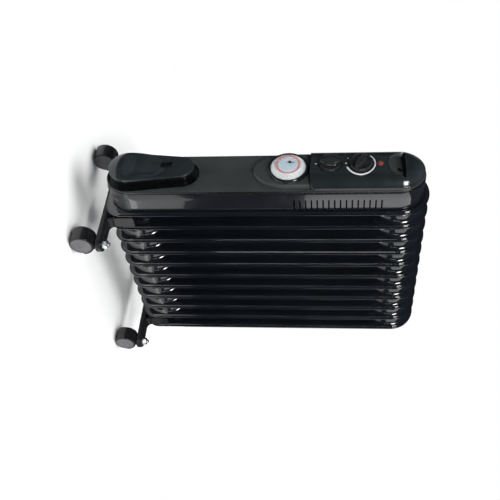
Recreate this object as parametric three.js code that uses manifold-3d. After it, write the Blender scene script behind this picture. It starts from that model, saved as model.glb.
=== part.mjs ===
// Oil filled radiator heater: eleven pressed fins on two header tubes, a control
// housing on the front fin, and two foot brackets with swivelling twin-wheel castors.
// Millimetres, +Z up, the controls face -Y, origin on the floor under the middle.
import * as THREE from "three";
import { mergeVertices } from "three/addons/utils/BufferGeometryUtils.js";
import Module from "manifold-3d";

const wasm = await Module();
wasm.setup();

// ---- Driving dimensions. Heights are above the fins' lower edge, Y is behind fin 1. ----
const FINS = 11;
const PITCH = 37;
const FIN = { halfWidth: 54, height: 580, crown: 49, footRadius: 30, rim: 1.5, swell: 4.3, border: 5 };
const CLEAR = 0.3; // gap between pieces that touch
const FLOOR_DROP = 49.5; // fins' lower edge above the floor

const HEADER = { low: 52, high: 528, radius: 20, bore: 16, front: -6.5 };
const REAR_FIN_Y = (FINS - 1) * PITCH;

const BOX = { halfWidth: 45, low: 8, high: 570, front: -47, back: -4.6, sheet: 1.4, sideEnd: 53 };
const SLOTS = { count: 16, first: 343.7, step: 10.04, from: -30, to: -8, height: 2.6 };
const TOP_SLOT_ANGLES = [-36, -24, -12, 0, 12, 24, 36];

const FASCIA = { halfWidth: 44, low: 9, high: 569, back: -47.3, front: -52, wall: 3 };
const PLINTH = { halfWidth: 38, low: 273, round: 57, front: -61, wall: 2.5 };
const POD = {
  halfWidth: 43, bottom: 372, corner: 8, domeZ: 525,
  front: -73, side: -55, back: -52.3, power: 3.2, wall: 2.5,
};
const GRIP = { radius: 29, top: 533, depth: 15 };

const TIMER = { z: 334, outer: 30.2, faceRadius: 22, centre: 17.6, back: -61.3, lip: -66.5, face: -72.5 };
const OVERRIDE = { x: -5.2, low: 0.5, high: 5.7 };
const THERMOSTAT = { z: 457.7, radius: 19.6, height: 9 };
const SELECTOR = { z: 405.8, radius: 19.3, height: 9 };
const LAMP = { z: 491, radius: 5.3 };

const WRAP = { topZ: 146, topRadius: 24, lowZ: 52, lowRadius: 34, back: -67, front: -72.5, bulge: 8 };
const RECESS = { margin: 4.6, floor: -38, wall: 1.6 };

const FOOT = { halfLength: 116, width: 27.4, top: 5, flange: 11, sheet: 2.2 };
const TAB = { x: 50, thick: 2.4, width: 23, fillet: 12, top: 52 };
const UBOLT = { spread: HEADER.radius + 3.4, rod: 2.5, low: -6 };
const CASTOR = {
  x: 103, trail: 12, wheelRadius: 20, wheelWidth: 10, gap: 9,
  cover: 2.2, axle: 3, stemRadius: 4, nutAcross: 13,
};
const FEET_Y = [PITCH / 2, (FINS - 1.5) * PITCH];

const KNOB_FRONT = POD.front - CLEAR - THERMOSTAT.height;
const REAR_FACE = REAR_FIN_Y + FIN.swell;
const MIDDLE_Y = (KNOB_FRONT + REAR_FACE) / 2;

// ---- Materials ----
function paint(color, roughness, metalness) {
  return new THREE.MeshStandardMaterial({ color, roughness, metalness });
}
const FINISH = {
  enamel: paint(0x0c0d10, 0.16, 0.3),
  shroud: paint(0x111216, 0.18, 0.3),
  plastic: paint(0x17191b, 0.35, 0),
  dark: paint(0x0b0b0c, 0.6, 0),
  chrome: paint(0xc9ccd0, 0.15, 1),
  steel: paint(0x8d9094, 0.35, 0.9),
  dial: paint(0xe9eef0, 0.4, 0),
  lens: paint(0x7d1713, 0.2, 0),
  wheel: paint(0x6e6e73, 0.5, 0),
  brass: paint(0xb08d4a, 0.35, 0.9),
  ceramic: paint(0xd8d3c6, 0.5, 0),
  wire: paint(0x5a3a28, 0.6, 0),
};

// ---- Solid helpers: a closed three.js geometry to a manifold solid, and back ----
function solid(geometry) {
  const bare = geometry.index ? geometry.toNonIndexed() : geometry.clone();
  bare.deleteAttribute("normal");
  bare.deleteAttribute("uv");
  const merged = mergeVertices(bare, 1e-3);
  const vertProperties = new Float32Array(merged.attributes.position.array);
  const triVerts = new Uint32Array(merged.index.array);
  const made = new wasm.Manifold(new wasm.Mesh({ numProp: 3, vertProperties, triVerts }));
  if (made.volume() > 0) return made;
  triVerts.reverse();
  return new wasm.Manifold(new wasm.Mesh({ numProp: 3, vertProperties, triVerts }));
}

function geometryOf(body) {
  const mesh = body.getMesh();
  const made = new THREE.BufferGeometry();
  made.setAttribute("position", new THREE.BufferAttribute(mesh.vertProperties, 3));
  made.setIndex(new THREE.BufferAttribute(mesh.triVerts, 1));
  return made;
}

const join = (first, ...rest) => rest.reduce((sum, next) => sum.add(next), first);
const cut = (first, ...rest) => rest.reduce((left, next) => left.subtract(next), first);

// A box from its lowest to its highest corner.
function block(x0, y0, z0, x1, y1, z1) {
  const made = new THREE.BoxGeometry(x1 - x0, y1 - y0, z1 - z0);
  return solid(made.translate((x0 + x1) / 2, (y0 + y1) / 2, (z0 + z1) / 2));
}

// A cylinder along Y, from y0 to y1, and one along Z or X.
function rodY(x, z, radius, y0, y1, sides = 32) {
  return solid(new THREE.CylinderGeometry(radius, radius, y1 - y0, sides).translate(x, (y0 + y1) / 2, z));
}
function rodZ(x, y, radius, z0, z1, sides = 24) {
  const made = new THREE.CylinderGeometry(radius, radius, z1 - z0, sides).rotateX(Math.PI / 2);
  return solid(made.translate(x, y, (z0 + z1) / 2));
}
function rodX(y, z, radius, x0, x1, sides = 32) {
  const made = new THREE.CylinderGeometry(radius, radius, x1 - x0, sides).rotateZ(Math.PI / 2);
  return solid(made.translate((x0 + x1) / 2, y, z));
}

// A shape drawn in X and Z, extruded from y0 to y1.
function slab(shape, y0, y1, curveSegments = 10) {
  const made = new THREE.ExtrudeGeometry(shape, { depth: y1 - y0, bevelEnabled: false, curveSegments });
  return solid(made.rotateX(Math.PI / 2).translate(0, y1, 0));
}

// A profile of [radius, depth] pairs turned about an axis along Y through (x, z).
// Depth counts forwards, towards -Y, from y.
function turned(profile, x, y, z, sides = 40) {
  const points = profile.map(([radius, depth]) => new THREE.Vector2(radius, depth));
  return solid(new THREE.LatheGeometry(points, sides).rotateX(Math.PI).translate(x, y, z));
}

// A round lead along a smooth curve through points.
function lead(points, radius, steps) {
  const places = points.map((p) => new THREE.Vector3(...p));
  const curve = new THREE.CatmullRomCurve3(places, false, "centripetal");
  const section = new THREE.Shape();
  section.absarc(0, 0, radius, 0, 2 * Math.PI);
  return solid(new THREE.ExtrudeGeometry(section, { steps, extrudePath: curve, curveSegments: 4 }));
}

// ---- Outlines in X and Z ----
// A fin: a wide low crown at the top and small round corners at the foot.
function finOutline(inset) {
  const w = FIN.halfWidth - inset;
  const foot = FIN.footRadius - inset * 0.6;
  const crown = FIN.crown - inset * 0.6;
  const top = FIN.height - inset;
  const shape = new THREE.Shape();
  shape.moveTo(-w + foot, inset);
  shape.lineTo(w - foot, inset);
  shape.absarc(w - foot, inset + foot, foot, -Math.PI / 2, 0);
  shape.absellipse(0, top - crown, w, crown, 0, Math.PI);
  shape.absarc(-w + foot, inset + foot, foot, Math.PI, 1.5 * Math.PI);
  return shape;
}

// Straight sides with half-round ends.
function stadium(halfWidth, low, high) {
  const shape = new THREE.Shape();
  shape.absarc(0, low + halfWidth, halfWidth, Math.PI, 2 * Math.PI);
  shape.absarc(0, high - halfWidth, halfWidth, 0, Math.PI);
  return shape;
}

// Two circles of different size joined by their outer tangents: wide below, narrow above.
function teardrop(margin) {
  const rise = WRAP.topZ - WRAP.lowZ;
  const lean = Math.asin((WRAP.lowRadius - WRAP.topRadius) / rise);
  const shape = new THREE.Shape();
  shape.absarc(0, WRAP.lowZ, WRAP.lowRadius + margin, Math.PI - lean, 2 * Math.PI + lean);
  shape.absarc(0, WRAP.topZ, WRAP.topRadius + margin, lean, Math.PI - lean);
  return shape;
}

// The tongue below the pod that carries the timer.
function tongue(inset) {
  const w = PLINTH.halfWidth - inset;
  const round = PLINTH.round - inset;
  const shape = new THREE.Shape();
  shape.moveTo(w, POD.bottom + 40);
  shape.lineTo(-w, POD.bottom + 40);
  shape.absellipse(0, PLINTH.low + PLINTH.round, w, round, Math.PI, 2 * Math.PI);
  return shape;
}

// ---- The assembly: every mesh is one piece ----
const radiator = new THREE.Group();
radiator.name = "oil_filled_radiator";
radiator.position.set(0, -MIDDLE_Y, FLOOR_DROP);

function place(name, body, material) {
  const mesh = new THREE.Mesh(geometryOf(body), material);
  mesh.name = name;
  radiator.add(mesh);
}

// ---- Fins and headers ----
function fin(index) {
  const y = index * PITCH;
  const plate = slab(finOutline(0), y - FIN.rim, y + FIN.rim, 4);
  const swollen = slab(finOutline(FIN.border), y - FIN.swell, y + FIN.swell, 3);
  const whole = join(plate, swollen);
  if (index === FINS - 1) return whole;
  const hole = (z) => rodY(0, z, HEADER.radius + CLEAR, y - 10, y + 10, 16);
  return cut(whole, hole(HEADER.low), hole(HEADER.high));
}
for (let i = 0; i < FINS; i++) place(`fin_${String(i + 1).padStart(2, "0")}`, fin(i), FINISH.enamel);

function headerTube(z) {
  const back = REAR_FIN_Y - FIN.swell - CLEAR;
  const tube = rodY(0, z, HEADER.radius, HEADER.front, back, 16);
  return cut(tube, rodY(0, z, HEADER.bore, HEADER.front - 1, back - 4, 16));
}
place("header_tube_lower", headerTube(HEADER.low), FINISH.enamel);
place("header_tube_upper", headerTube(HEADER.high), FINISH.enamel);

// The element slides into the lower header; its flange closes the header's front end.
function heatingElement() {
  const flangeBack = HEADER.front - CLEAR;
  const flange = rodY(0, HEADER.low, HEADER.radius - 1, flangeBack - 5, flangeBack, 24);
  const legs = [-6.5, 6.5].map((x) => rodY(x, HEADER.low, 3.6, flangeBack - 1, 300, 12));
  const bend = block(-6.5, 296, HEADER.low - 3.4, 6.5, 303, HEADER.low + 3.4);
  const terminals = [-6.5, 6.5].map((x) => rodY(x, HEADER.low, 2.4, flangeBack - 14, flangeBack - 4, 10));
  return join(flange, ...legs, bend, ...terminals);
}
place("heating_element", heatingElement(), FINISH.steel);

function fillerPlug() {
  const face = HEADER.front - CLEAR;
  const head = new THREE.CylinderGeometry(12, 12, 5, 6).translate(0, face - 2.5, HEADER.high);
  return join(solid(head), rodY(0, HEADER.high, HEADER.bore - 1, face - 1, face + 10, 20));
}
place("oil_filler_plug", fillerPlug(), FINISH.brass);

// ---- Control housing ----
function shroud() {
  const { halfWidth, low, high, front, back, sheet } = BOX;
  const wrap = cut(
    slab(stadium(halfWidth, low, high), front, back, 10),
    slab(stadium(halfWidth - sheet, low + sheet, high - sheet), front - 1, back + 1, 10),
    block(-60, front - 1, low - 5, 60, back + 1, BOX.sideEnd),
  );
  const slots = [];
  for (let i = 0; i < SLOTS.count; i++) {
    const z = SLOTS.first + i * SLOTS.step;
    slots.push(block(-60, SLOTS.from, z - SLOTS.height / 2, 60, SLOTS.to, z + SLOTS.height / 2));
  }
  const domeZ = high - halfWidth;
  for (const degrees of TOP_SLOT_ANGLES) {
    const cutter = new THREE.BoxGeometry(SLOTS.height, SLOTS.to - SLOTS.from, 20);
    cutter.translate(0, (SLOTS.from + SLOTS.to) / 2, halfWidth);
    cutter.rotateY(THREE.MathUtils.degToRad(degrees)).translate(0, 0, domeZ);
    slots.push(solid(cutter));
  }
  return cut(wrap, ...slots);
}
place("housing_shroud", shroud(), FINISH.shroud);

// The plastic trough that closes the round lower end of the shroud.
function bottomCover() {
  const { halfWidth, low, high, front, back } = BOX;
  const wall = 2.4;
  const tube = cut(
    slab(stadium(halfWidth - 1, low + 1, high), front, back, 8),
    slab(stadium(halfWidth - 1 - wall, low + 1 + wall, high), front - 1, back + 1, 8),
    block(-60, front - 1, BOX.sideEnd - CLEAR, 60, back + 1, high + 5),
  );
  return cut(tube, rodZ(0, -26, 6 + CLEAR, low - 5, low + 8, 20));
}
place("housing_bottom_cover", bottomCover(), FINISH.dark);

function cableGland() {
  const z = BOX.low + 1;
  const head = rodZ(0, -26, 9, z - 3 - CLEAR, z - CLEAR, 20);
  const neck = rodZ(0, -26, 6, z - 1, z + 12, 20);
  return cut(join(head, neck), rodZ(0, -26, 3.7, z - 6, z + 14, 16));
}
place("cable_gland", cableGland(), FINISH.dark);

function heatShield() {
  const { halfWidth, low, high, sheet } = BOX;
  const gap = sheet + 3;
  const plate = slab(stadium(halfWidth - gap, low + gap, high - gap), -9.5, -8.3, 6);
  const hole = (z) => rodY(0, z, HEADER.radius + 1, -12, -6, 24);
  return cut(plate, hole(HEADER.low), hole(HEADER.high));
}
place("heat_shield", heatShield(), FINISH.steel);

function fascia() {
  const { halfWidth, low, high, back, front, wall } = FASCIA;
  const floor = RECESS.floor;
  const tray = cut(
    slab(stadium(halfWidth, low, high), front, back, 10),
    slab(stadium(halfWidth - wall, low + wall, high - wall), front + wall, back + 1, 8),
  );
  const cup = slab(teardrop(RECESS.margin + RECESS.wall), front + 1, floor + RECESS.wall, 6);
  const pocket = slab(teardrop(RECESS.margin), front - 1, floor, 6);
  const underPod = slab(belowPod(CLEAR), front - 20, back, 8);
  const plinth = slab(tongue(0), PLINTH.front, front + 1, 8).intersect(underPod);
  const plinthHollow = slab(tongue(PLINTH.wall), PLINTH.front + PLINTH.wall, back + 1, 6);
  const window = block(-34, front - 20, POD.bottom + 14, 34, back + 1, POD.domeZ + 14);
  const timerHole = rodY(0, TIMER.z, 9, PLINTH.front - 1, back, 24);
  return cut(join(tray, cup, plinth), pocket, plinthHollow, window, timerHole);
}
place("front_fascia", fascia(), FINISH.plastic);

// ---- Control pod: a cover bowed across its width, with a domed top and a finger grip ----
// Half its section as [distance from the middle, depth in front of the radiator].
function bow(inset) {
  const { halfWidth, front, side, power } = POD;
  const reach = halfWidth - inset;
  const middle = -front - inset;
  const drop = middle + side;
  const points = [];
  const steps = 6;
  for (let i = 0; i <= steps; i++) {
    const share = Math.cos((i / steps) * (Math.PI / 2));
    points.push([reach * share, middle - drop * share ** power]);
  }
  return points;
}

function bowed(inset) {
  const { back, domeZ, bottom, halfWidth } = POD;
  const half = bow(inset);
  const other = half.slice(0, -1).reverse().map(([x, depth]) => [-x, depth]);
  const reach = halfWidth - inset;
  const section = [[-reach, -back], [reach, -back], ...half, ...other].map((p) => new THREE.Vector2(...p));
  const extent = { depth: domeZ - bottom, bevelEnabled: false };
  const column = new THREE.ExtrudeGeometry(new THREE.Shape(section), extent);
  column.rotateX(Math.PI).translate(0, 0, domeZ);
  const dome = turned([[0, -back], [reach, -back], ...half], 0, 0, domeZ, 24);
  return join(solid(column), dome);
}

// The region below the pod's flat lower edge and its two rounded corners.
function belowPod(drop) {
  const { halfWidth, corner } = POD;
  const low = POD.bottom - drop;
  const side = halfWidth + 5;
  const region = new THREE.Shape();
  region.moveTo(-side, low - 120);
  region.lineTo(side, low - 120);
  region.lineTo(side, low + corner);
  region.absarc(halfWidth - corner, low + corner, corner, 0, -Math.PI / 2, true);
  region.absarc(corner - halfWidth, low + corner, corner, -Math.PI / 2, -Math.PI, true);
  region.lineTo(-side, low + corner);
  return region;
}

// The finger grip: a half-round pocket, deep under its flat upper edge and fading out below.
function gripPocket(grow) {
  const { radius, top, depth } = GRIP;
  const half = new THREE.Shape();
  half.absarc(0, top + grow, radius + grow, Math.PI, 2 * Math.PI);
  const front = POD.front;
  const prism = slab(half, front - 5, front + depth + grow, 10);
  const ramp = new THREE.BoxGeometry(90, 60, 90).translate(0, 30, -45);
  ramp.rotateX(THREE.MathUtils.degToRad(-28)).translate(0, front + depth + grow + 2, top + 4);
  return cut(prism, solid(ramp));
}

function controlPod() {
  const { back, bottom, wall, domeZ, front } = POD;
  const cavity = cut(bowed(wall), gripPocket(wall), slab(belowPod(-wall), front - 5, back + 5, 8));
  const shaft = (z) => rodY(0, z, 5, front - 5, back + 5, 20);
  return cut(
    bowed(0),
    cavity,
    gripPocket(0),
    slab(belowPod(0), front - 5, back + 5, 8),
    block(-34, back - 8, bottom + 20, 34, back + 5, domeZ + 10),
    shaft(THERMOSTAT.z),
    shaft(SELECTOR.z),
    rodY(0, LAMP.z, LAMP.radius + CLEAR, front - 5, back + 5, 16),
  );
}
place("control_pod", controlPod(), FINISH.plastic);

function pilotLamp() {
  const r = LAMP.radius;
  const profile = [[0, 0], [r, 0], [r, 7.2], [r * 0.8, 8.6], [r * 0.45, 9.4], [0, 9.7]];
  return turned(profile, 0, POD.front + 8, LAMP.z, 14);
}
place("pilot_lamp_lens", pilotLamp(), FINISH.lens);

// ---- Knobs: a round skirt, a raised grip across it and a shaft into the switch behind ----
function knob(spec, gripHalfWidth, degrees) {
  const face = POD.front - CLEAR;
  const { radius, height, z } = spec;
  const side = [[0, 0], [radius, 0], [radius - 0.6, 4.5], [radius - 3, 6], [0, 6.4]];
  const skirt = turned(side, 0, face, z, 24);
  const reach = radius - 2.2;
  const lens = new THREE.Shape();
  lens.moveTo(-gripHalfWidth * 0.35, -reach);
  lens.quadraticCurveTo(-gripHalfWidth * 1.3, 0, -gripHalfWidth * 0.35, reach);
  lens.lineTo(gripHalfWidth * 0.35, reach);
  lens.quadraticCurveTo(gripHalfWidth * 1.3, 0, gripHalfWidth * 0.35, -reach);
  const bar = new THREE.ExtrudeGeometry(lens, { depth: height - 5, bevelEnabled: false, curveSegments: 6 });
  bar.rotateX(Math.PI / 2).rotateY(THREE.MathUtils.degToRad(degrees)).translate(0, face - 5, z);
  const shaft = rodY(0, z, 3, face - 1, POD.back - 8, 16);
  return join(skirt, solid(bar), shaft);
}
place("thermostat_knob", knob(THERMOSTAT, 5.5, -62), FINISH.plastic);
place("selector_knob", knob(SELECTOR, 7.5, 0), FINISH.plastic);

// ---- Timer ----
function timerBezel() {
  const inside = TIMER.outer + 0.5;
  const ring = [[0, 0], [4.5, 0], [3.9, 4.2], [1.9, 5.8], [0, 5.2], [0, 0]];
  return turned(ring.map(([out, depth]) => [inside + out, depth]), 0, TIMER.back, TIMER.z, 32);
}
place("timer_bezel", timerBezel(), FINISH.plastic);

function timerDial() {
  const { outer, faceRadius, centre, back, lip, face } = TIMER;
  const depth = (y) => back - y;
  const inside = centre + 0.4;
  const high = depth(face);
  const ring = [[inside, 0.6], [outer, 0.6], [outer, depth(lip)], [faceRadius + 1.2, high - 0.6]];
  ring.push([faceRadius, high], [inside, high], [inside, 0.6]);
  return turned(ring, 0, back, TIMER.z, 32);
}
place("timer_dial", timerDial(), FINISH.dial);

function timerCentre() {
  const { centre, back, face, z } = TIMER;
  const high = back - face + 0.5;
  const side = [[0, 0.6], [centre, 0.6], [centre, high - 0.5], [centre - 0.6, high], [0, high]];
  const disc = turned(side, 0, back, z, 24);
  const pocket = block(OVERRIDE.x - 2.4, face - 4, z + 0.2, OVERRIDE.x + 2.4, face + 3, z + 9.8);
  return join(cut(disc, pocket), rodY(0, z, 6, back - 2, back + 4, 16));
}
place("timer_centre", timerCentre(), FINISH.dial);

// The small switch in the centre that holds the heater on whatever the dial says.
function overrideSwitch() {
  const { x, low, high } = OVERRIDE;
  const face = TIMER.face;
  const base = block(x - 1.9, face + 0.4, TIMER.z + low, x + 1.9, face + 2.6, TIMER.z + high);
  const nib = block(x - 1.3, face - 2, TIMER.z + low + 1.4, x + 1.3, face + 1, TIMER.z + high - 1.4);
  return join(base, nib);
}
place("timer_override_switch", overrideSwitch(), FINISH.dark);

// ---- Cord wrap: a hub in the fascia's recess and a teardrop flange over it ----
function cordWrap() {
  const { back, front, lowZ, lowRadius, bulge } = WRAP;
  const hub = slab(teardrop(-13), back - 1, RECESS.floor - CLEAR, 5);
  const flange = slab(teardrop(0), front, back, 8);
  const cap = new THREE.SphereGeometry(1, 20, 8).scale(lowRadius - 3, bulge, lowRadius - 1);
  cap.translate(0, front + 0.5, lowZ);
  const notch = block(-9, front - 5, 115, 2, back + 1, 130);
  return cut(join(hub, flange, solid(cap)), notch);
}
place("cord_wrap", cordWrap(), FINISH.plastic);

// ---- Inside the housing ----
const SWITCH_Y = POD.back - 7.1;
function boxAt(z, width, depth, height, y) {
  return block(-width / 2, y, z - height / 2, width / 2, y + depth, z + height / 2);
}
const bulb = rodY(0, THERMOSTAT.z, 7, POD.back + 6, POD.back + 14, 20);
place("thermostat_body", join(boxAt(THERMOSTAT.z, 32, 16, 30, SWITCH_Y), bulb), FINISH.ceramic);
place("selector_switch_body", boxAt(SELECTOR.z, 30, 18, 26, SWITCH_Y), FINISH.dark);
place("timer_movement", boxAt(TIMER.z, 56, 20, 58, PLINTH.front + 7), FINISH.dark);
place("terminal_block", block(-18, -30, 214, 18, -14, 232), FINISH.ceramic);

function cutOut() {
  const disc = rodY(-20, 112, 8, -16, -9.5 - CLEAR, 16);
  return join(disc, block(-23, -21, 111, -17, -15, 113));
}
place("thermal_cut_out", cutOut(), FINISH.steel);

const INLET_LEAD = [
  [0, -26, BOX.low + 16], [0, -26, 40], [14, -24, 80], [26, -22, 130], [14, -22, 185], [10, -22, 213],
];
const CONTROL_LEAD = [
  [0, -22, 233], [0, -20, 262], [-6, -18, 300], [-8, -18, 350], [-4, -22, 380], [0, -28, 392.5],
];
place("lead_inlet_to_terminals", lead(INLET_LEAD, 3.2, 16), FINISH.dark);
place("lead_terminals_to_controls", lead(CONTROL_LEAD, 2.6, 14), FINISH.wire);

// ---- Feet ----
function footBracket(y) {
  const { halfLength, width, top, flange, sheet } = FOOT;
  const bar = (inset, z0, z1) => {
    const end = width / 2 - inset;
    const shape = new THREE.Shape();
    shape.absarc(halfLength - width / 2, 0, end, -Math.PI / 2, Math.PI / 2);
    shape.absarc(width / 2 - halfLength, 0, end, Math.PI / 2, 1.5 * Math.PI);
    const extent = { depth: z1 - z0, bevelEnabled: false, curveSegments: 4 };
    return solid(new THREE.ExtrudeGeometry(shape, extent).translate(0, y, z0));
  };
  const channel = cut(bar(0, top - flange, top), bar(sheet, top - flange - 1, top - sheet));
  const wall = new THREE.Shape();
  wall.moveTo(TAB.x, top - 1);
  wall.lineTo(TAB.x + TAB.fillet, top - 1);
  wall.quadraticCurveTo(TAB.x + TAB.thick + 1, top + 1, TAB.x + TAB.thick, top + TAB.fillet);
  wall.lineTo(TAB.x + TAB.thick, TAB.top);
  wall.lineTo(TAB.x, TAB.top);
  const tab = slab(wall, y - TAB.width / 2, y + TAB.width / 2, 4);
  const hole = (x, radius) => rodZ(x, y, radius + CLEAR, top - 25, top + 15, 16);
  const holes = [];
  for (const side of [-1, 1]) {
    holes.push(hole(side * CASTOR.x, CASTOR.stemRadius), hole(side * UBOLT.spread, UBOLT.rod));
  }
  return cut(join(channel, tab, tab.mirror([1, 0, 0])), ...holes);
}

function uBolt(y) {
  const { spread, rod, low } = UBOLT;
  const points = [[-spread, y, low], [-spread, y, HEADER.low - 20]];
  const steps = 16;
  for (let i = 0; i <= steps; i++) {
    const angle = Math.PI * (1 - i / steps);
    points.push([spread * Math.cos(angle), y, HEADER.low + spread * Math.sin(angle)]);
  }
  points.push([spread, y, HEADER.low - 20], [spread, y, low]);
  return lead(points, rod, 24);
}

function wingNut(x, y) {
  const top = FOOT.top - FOOT.sheet - CLEAR;
  const barrel = rodZ(x, y, 5, top - 5, top, 16);
  const wings = block(x - 9, y - 1.1, top - 7.5, x + 9, y + 1.1, top - 2);
  return cut(join(barrel, wings), rodZ(x, y, UBOLT.rod + CLEAR, top - 12, top + 2, 12));
}

// ---- Castors: a hood, two wheels on one axle, and the stem with its nut ----
const AXLE_Z = -FLOOR_DROP + CASTOR.wheelRadius;
const STEM_FOOT = AXLE_Z + 10;
const SOCKET_TOP = FOOT.top - FOOT.sheet - CLEAR;

// The hood covers both wheels from the axle's height in front, over the top, to halfway down the back.
function castorHood(x, y) {
  const { wheelRadius, wheelWidth, gap, trail, stemRadius, cover, axle } = CASTOR;
  const half = gap / 2 - CLEAR;
  const axleY = y - trail;
  const far = 60;
  const lobe = (radius, halfWidth) => rodX(axleY, AXLE_Z, radius, x - halfWidth, x + halfWidth, 28);
  const below = block(x - far, axleY, AXLE_Z - far, x + far, axleY + far, AXLE_Z);
  const behind = new THREE.BoxGeometry(far * 2, far, far).translate(0, far / 2, -far / 2);
  behind.rotateX(-Math.PI / 4).translate(x, axleY, AXLE_Z);
  const shell = cut(lobe(wheelRadius + cover, gap / 2 + wheelWidth), below, solid(behind));
  const socket = rodZ(x, y, 7.5, AXLE_Z + 2, SOCKET_TOP, 16);
  const wheelSpace = (side) => {
    const ends = [x + side * half, x + side * 40].sort((p, q) => p - q);
    return rodX(axleY, AXLE_Z, wheelRadius + 0.8, ...ends, 28);
  };
  const body = join(lobe(wheelRadius - 1.5, half), shell, socket);
  const bore = rodZ(x, y, stemRadius + CLEAR, STEM_FOOT - CLEAR, SOCKET_TOP + 1, 12);
  const axleBore = rodX(axleY, AXLE_Z, axle + CLEAR, x - 40, x + 40, 12);
  return cut(body, wheelSpace(-1), wheelSpace(1), bore, axleBore);
}

// One wheel. The outer one of a pair carries the axle, which runs through to the other.
function castorWheel(x, y, side) {
  const { wheelRadius: r, wheelWidth, gap, trail, axle } = CASTOR;
  const axleY = y - trail;
  const inner = x + (side * gap) / 2;
  const outer = inner + side * wheelWidth;
  const rod = (radius, a, b, sides) => rodX(axleY, AXLE_Z, radius, Math.min(a, b), Math.max(a, b), sides);
  const tread = rod(r, inner, outer - side * 1.2, 24);
  const face = rod(r - 1.4, inner + side, outer, 24);
  const wheel = join(tread, face);
  if (side * x < 0) return cut(wheel, rod(axle + CLEAR, inner - side, inner + side * 7, 12));
  return join(wheel, rod(axle, inner + side, inner - side * (gap + 6), 12));
}

// The stem is screwed through the bracket, with its nut on top; the hood turns on it.
function castorStem(x, y) {
  const { nutAcross, stemRadius } = CASTOR;
  const low = FOOT.top + CLEAR;
  const hex = new THREE.CylinderGeometry(nutAcross / Math.sqrt(3), nutAcross / Math.sqrt(3), 6.5, 6);
  hex.rotateX(Math.PI / 2).translate(x, y, low + 4.65);
  const washer = rodZ(x, y, 8.2, low, low + 1.6, 16);
  return join(washer, solid(hex), rodZ(x, y, stemRadius, STEM_FOOT, low + 12, 12));
}

FEET_Y.forEach((y, i) => {
  const end = ["front", "rear"][i];
  place(`foot_bracket_${end}`, footBracket(y), FINISH.enamel);
  place(`u_bolt_${end}`, uBolt(y), FINISH.chrome);
  for (const side of [-1, 1]) {
    const corner = `${end}_${side > 0 ? "right" : "left"}`;
    const x = side * CASTOR.x;
    place(`wing_nut_${corner}`, wingNut(side * UBOLT.spread, y), FINISH.chrome);
    place(`castor_hood_${corner}`, castorHood(x, y), FINISH.dark);
    place(`castor_wheel_outer_${corner}`, castorWheel(x, y, side), FINISH.wheel);
    place(`castor_wheel_inner_${corner}`, castorWheel(x, y, -side), FINISH.wheel);
    place(`castor_stem_${corner}`, castorStem(x, y), FINISH.chrome);
  }
});

export default radiator;
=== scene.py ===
"""Oil filled radiator heater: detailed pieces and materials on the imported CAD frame."""
import math

import bmesh
import bpy
from mathutils import Matrix, Vector


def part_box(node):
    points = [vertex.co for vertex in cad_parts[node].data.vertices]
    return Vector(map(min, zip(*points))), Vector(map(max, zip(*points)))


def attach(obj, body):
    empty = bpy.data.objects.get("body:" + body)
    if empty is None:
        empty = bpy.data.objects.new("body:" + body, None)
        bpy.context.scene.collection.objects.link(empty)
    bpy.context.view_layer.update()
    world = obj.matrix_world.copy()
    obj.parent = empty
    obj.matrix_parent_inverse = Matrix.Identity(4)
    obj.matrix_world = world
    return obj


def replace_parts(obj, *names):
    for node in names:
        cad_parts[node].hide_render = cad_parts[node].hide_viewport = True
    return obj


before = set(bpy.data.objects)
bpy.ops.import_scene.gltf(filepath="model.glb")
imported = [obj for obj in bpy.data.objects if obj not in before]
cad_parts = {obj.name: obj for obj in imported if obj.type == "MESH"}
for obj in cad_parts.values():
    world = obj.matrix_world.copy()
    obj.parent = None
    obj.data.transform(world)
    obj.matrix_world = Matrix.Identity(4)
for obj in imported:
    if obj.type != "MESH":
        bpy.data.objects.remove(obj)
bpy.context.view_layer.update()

# Part millimetres: X from the middle, Y behind the front fin, Z above the fins' lower edge.
FIN_LOW, FIN_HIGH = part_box("fin_01")
ORIGIN = Vector((0, (FIN_LOW[1] + FIN_HIGH[1]) / 2, FIN_LOW[2]))
ENDS = ("front", "rear")
SIDES = ("left", "right")


def row(x, y, z):
    """A point in part millimetres as metres in the row frame."""
    return ORIGIN + Vector((x, y, z)) / 1000


def part(node):
    """A CAD node's lowest and highest corner in part millimetres."""
    return [(Vector(corner) - ORIGIN) * 1000 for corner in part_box(node)]


def centre_of(node):
    """The middle of a CAD node's box in part millimetres."""
    return [(a + b) / 2 for a, b in zip(*part(node))]


# ---------------------------------------------------------------- mesh building
# Vertices closer than this are one, in millimetres.
MERGE = 0.002


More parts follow.
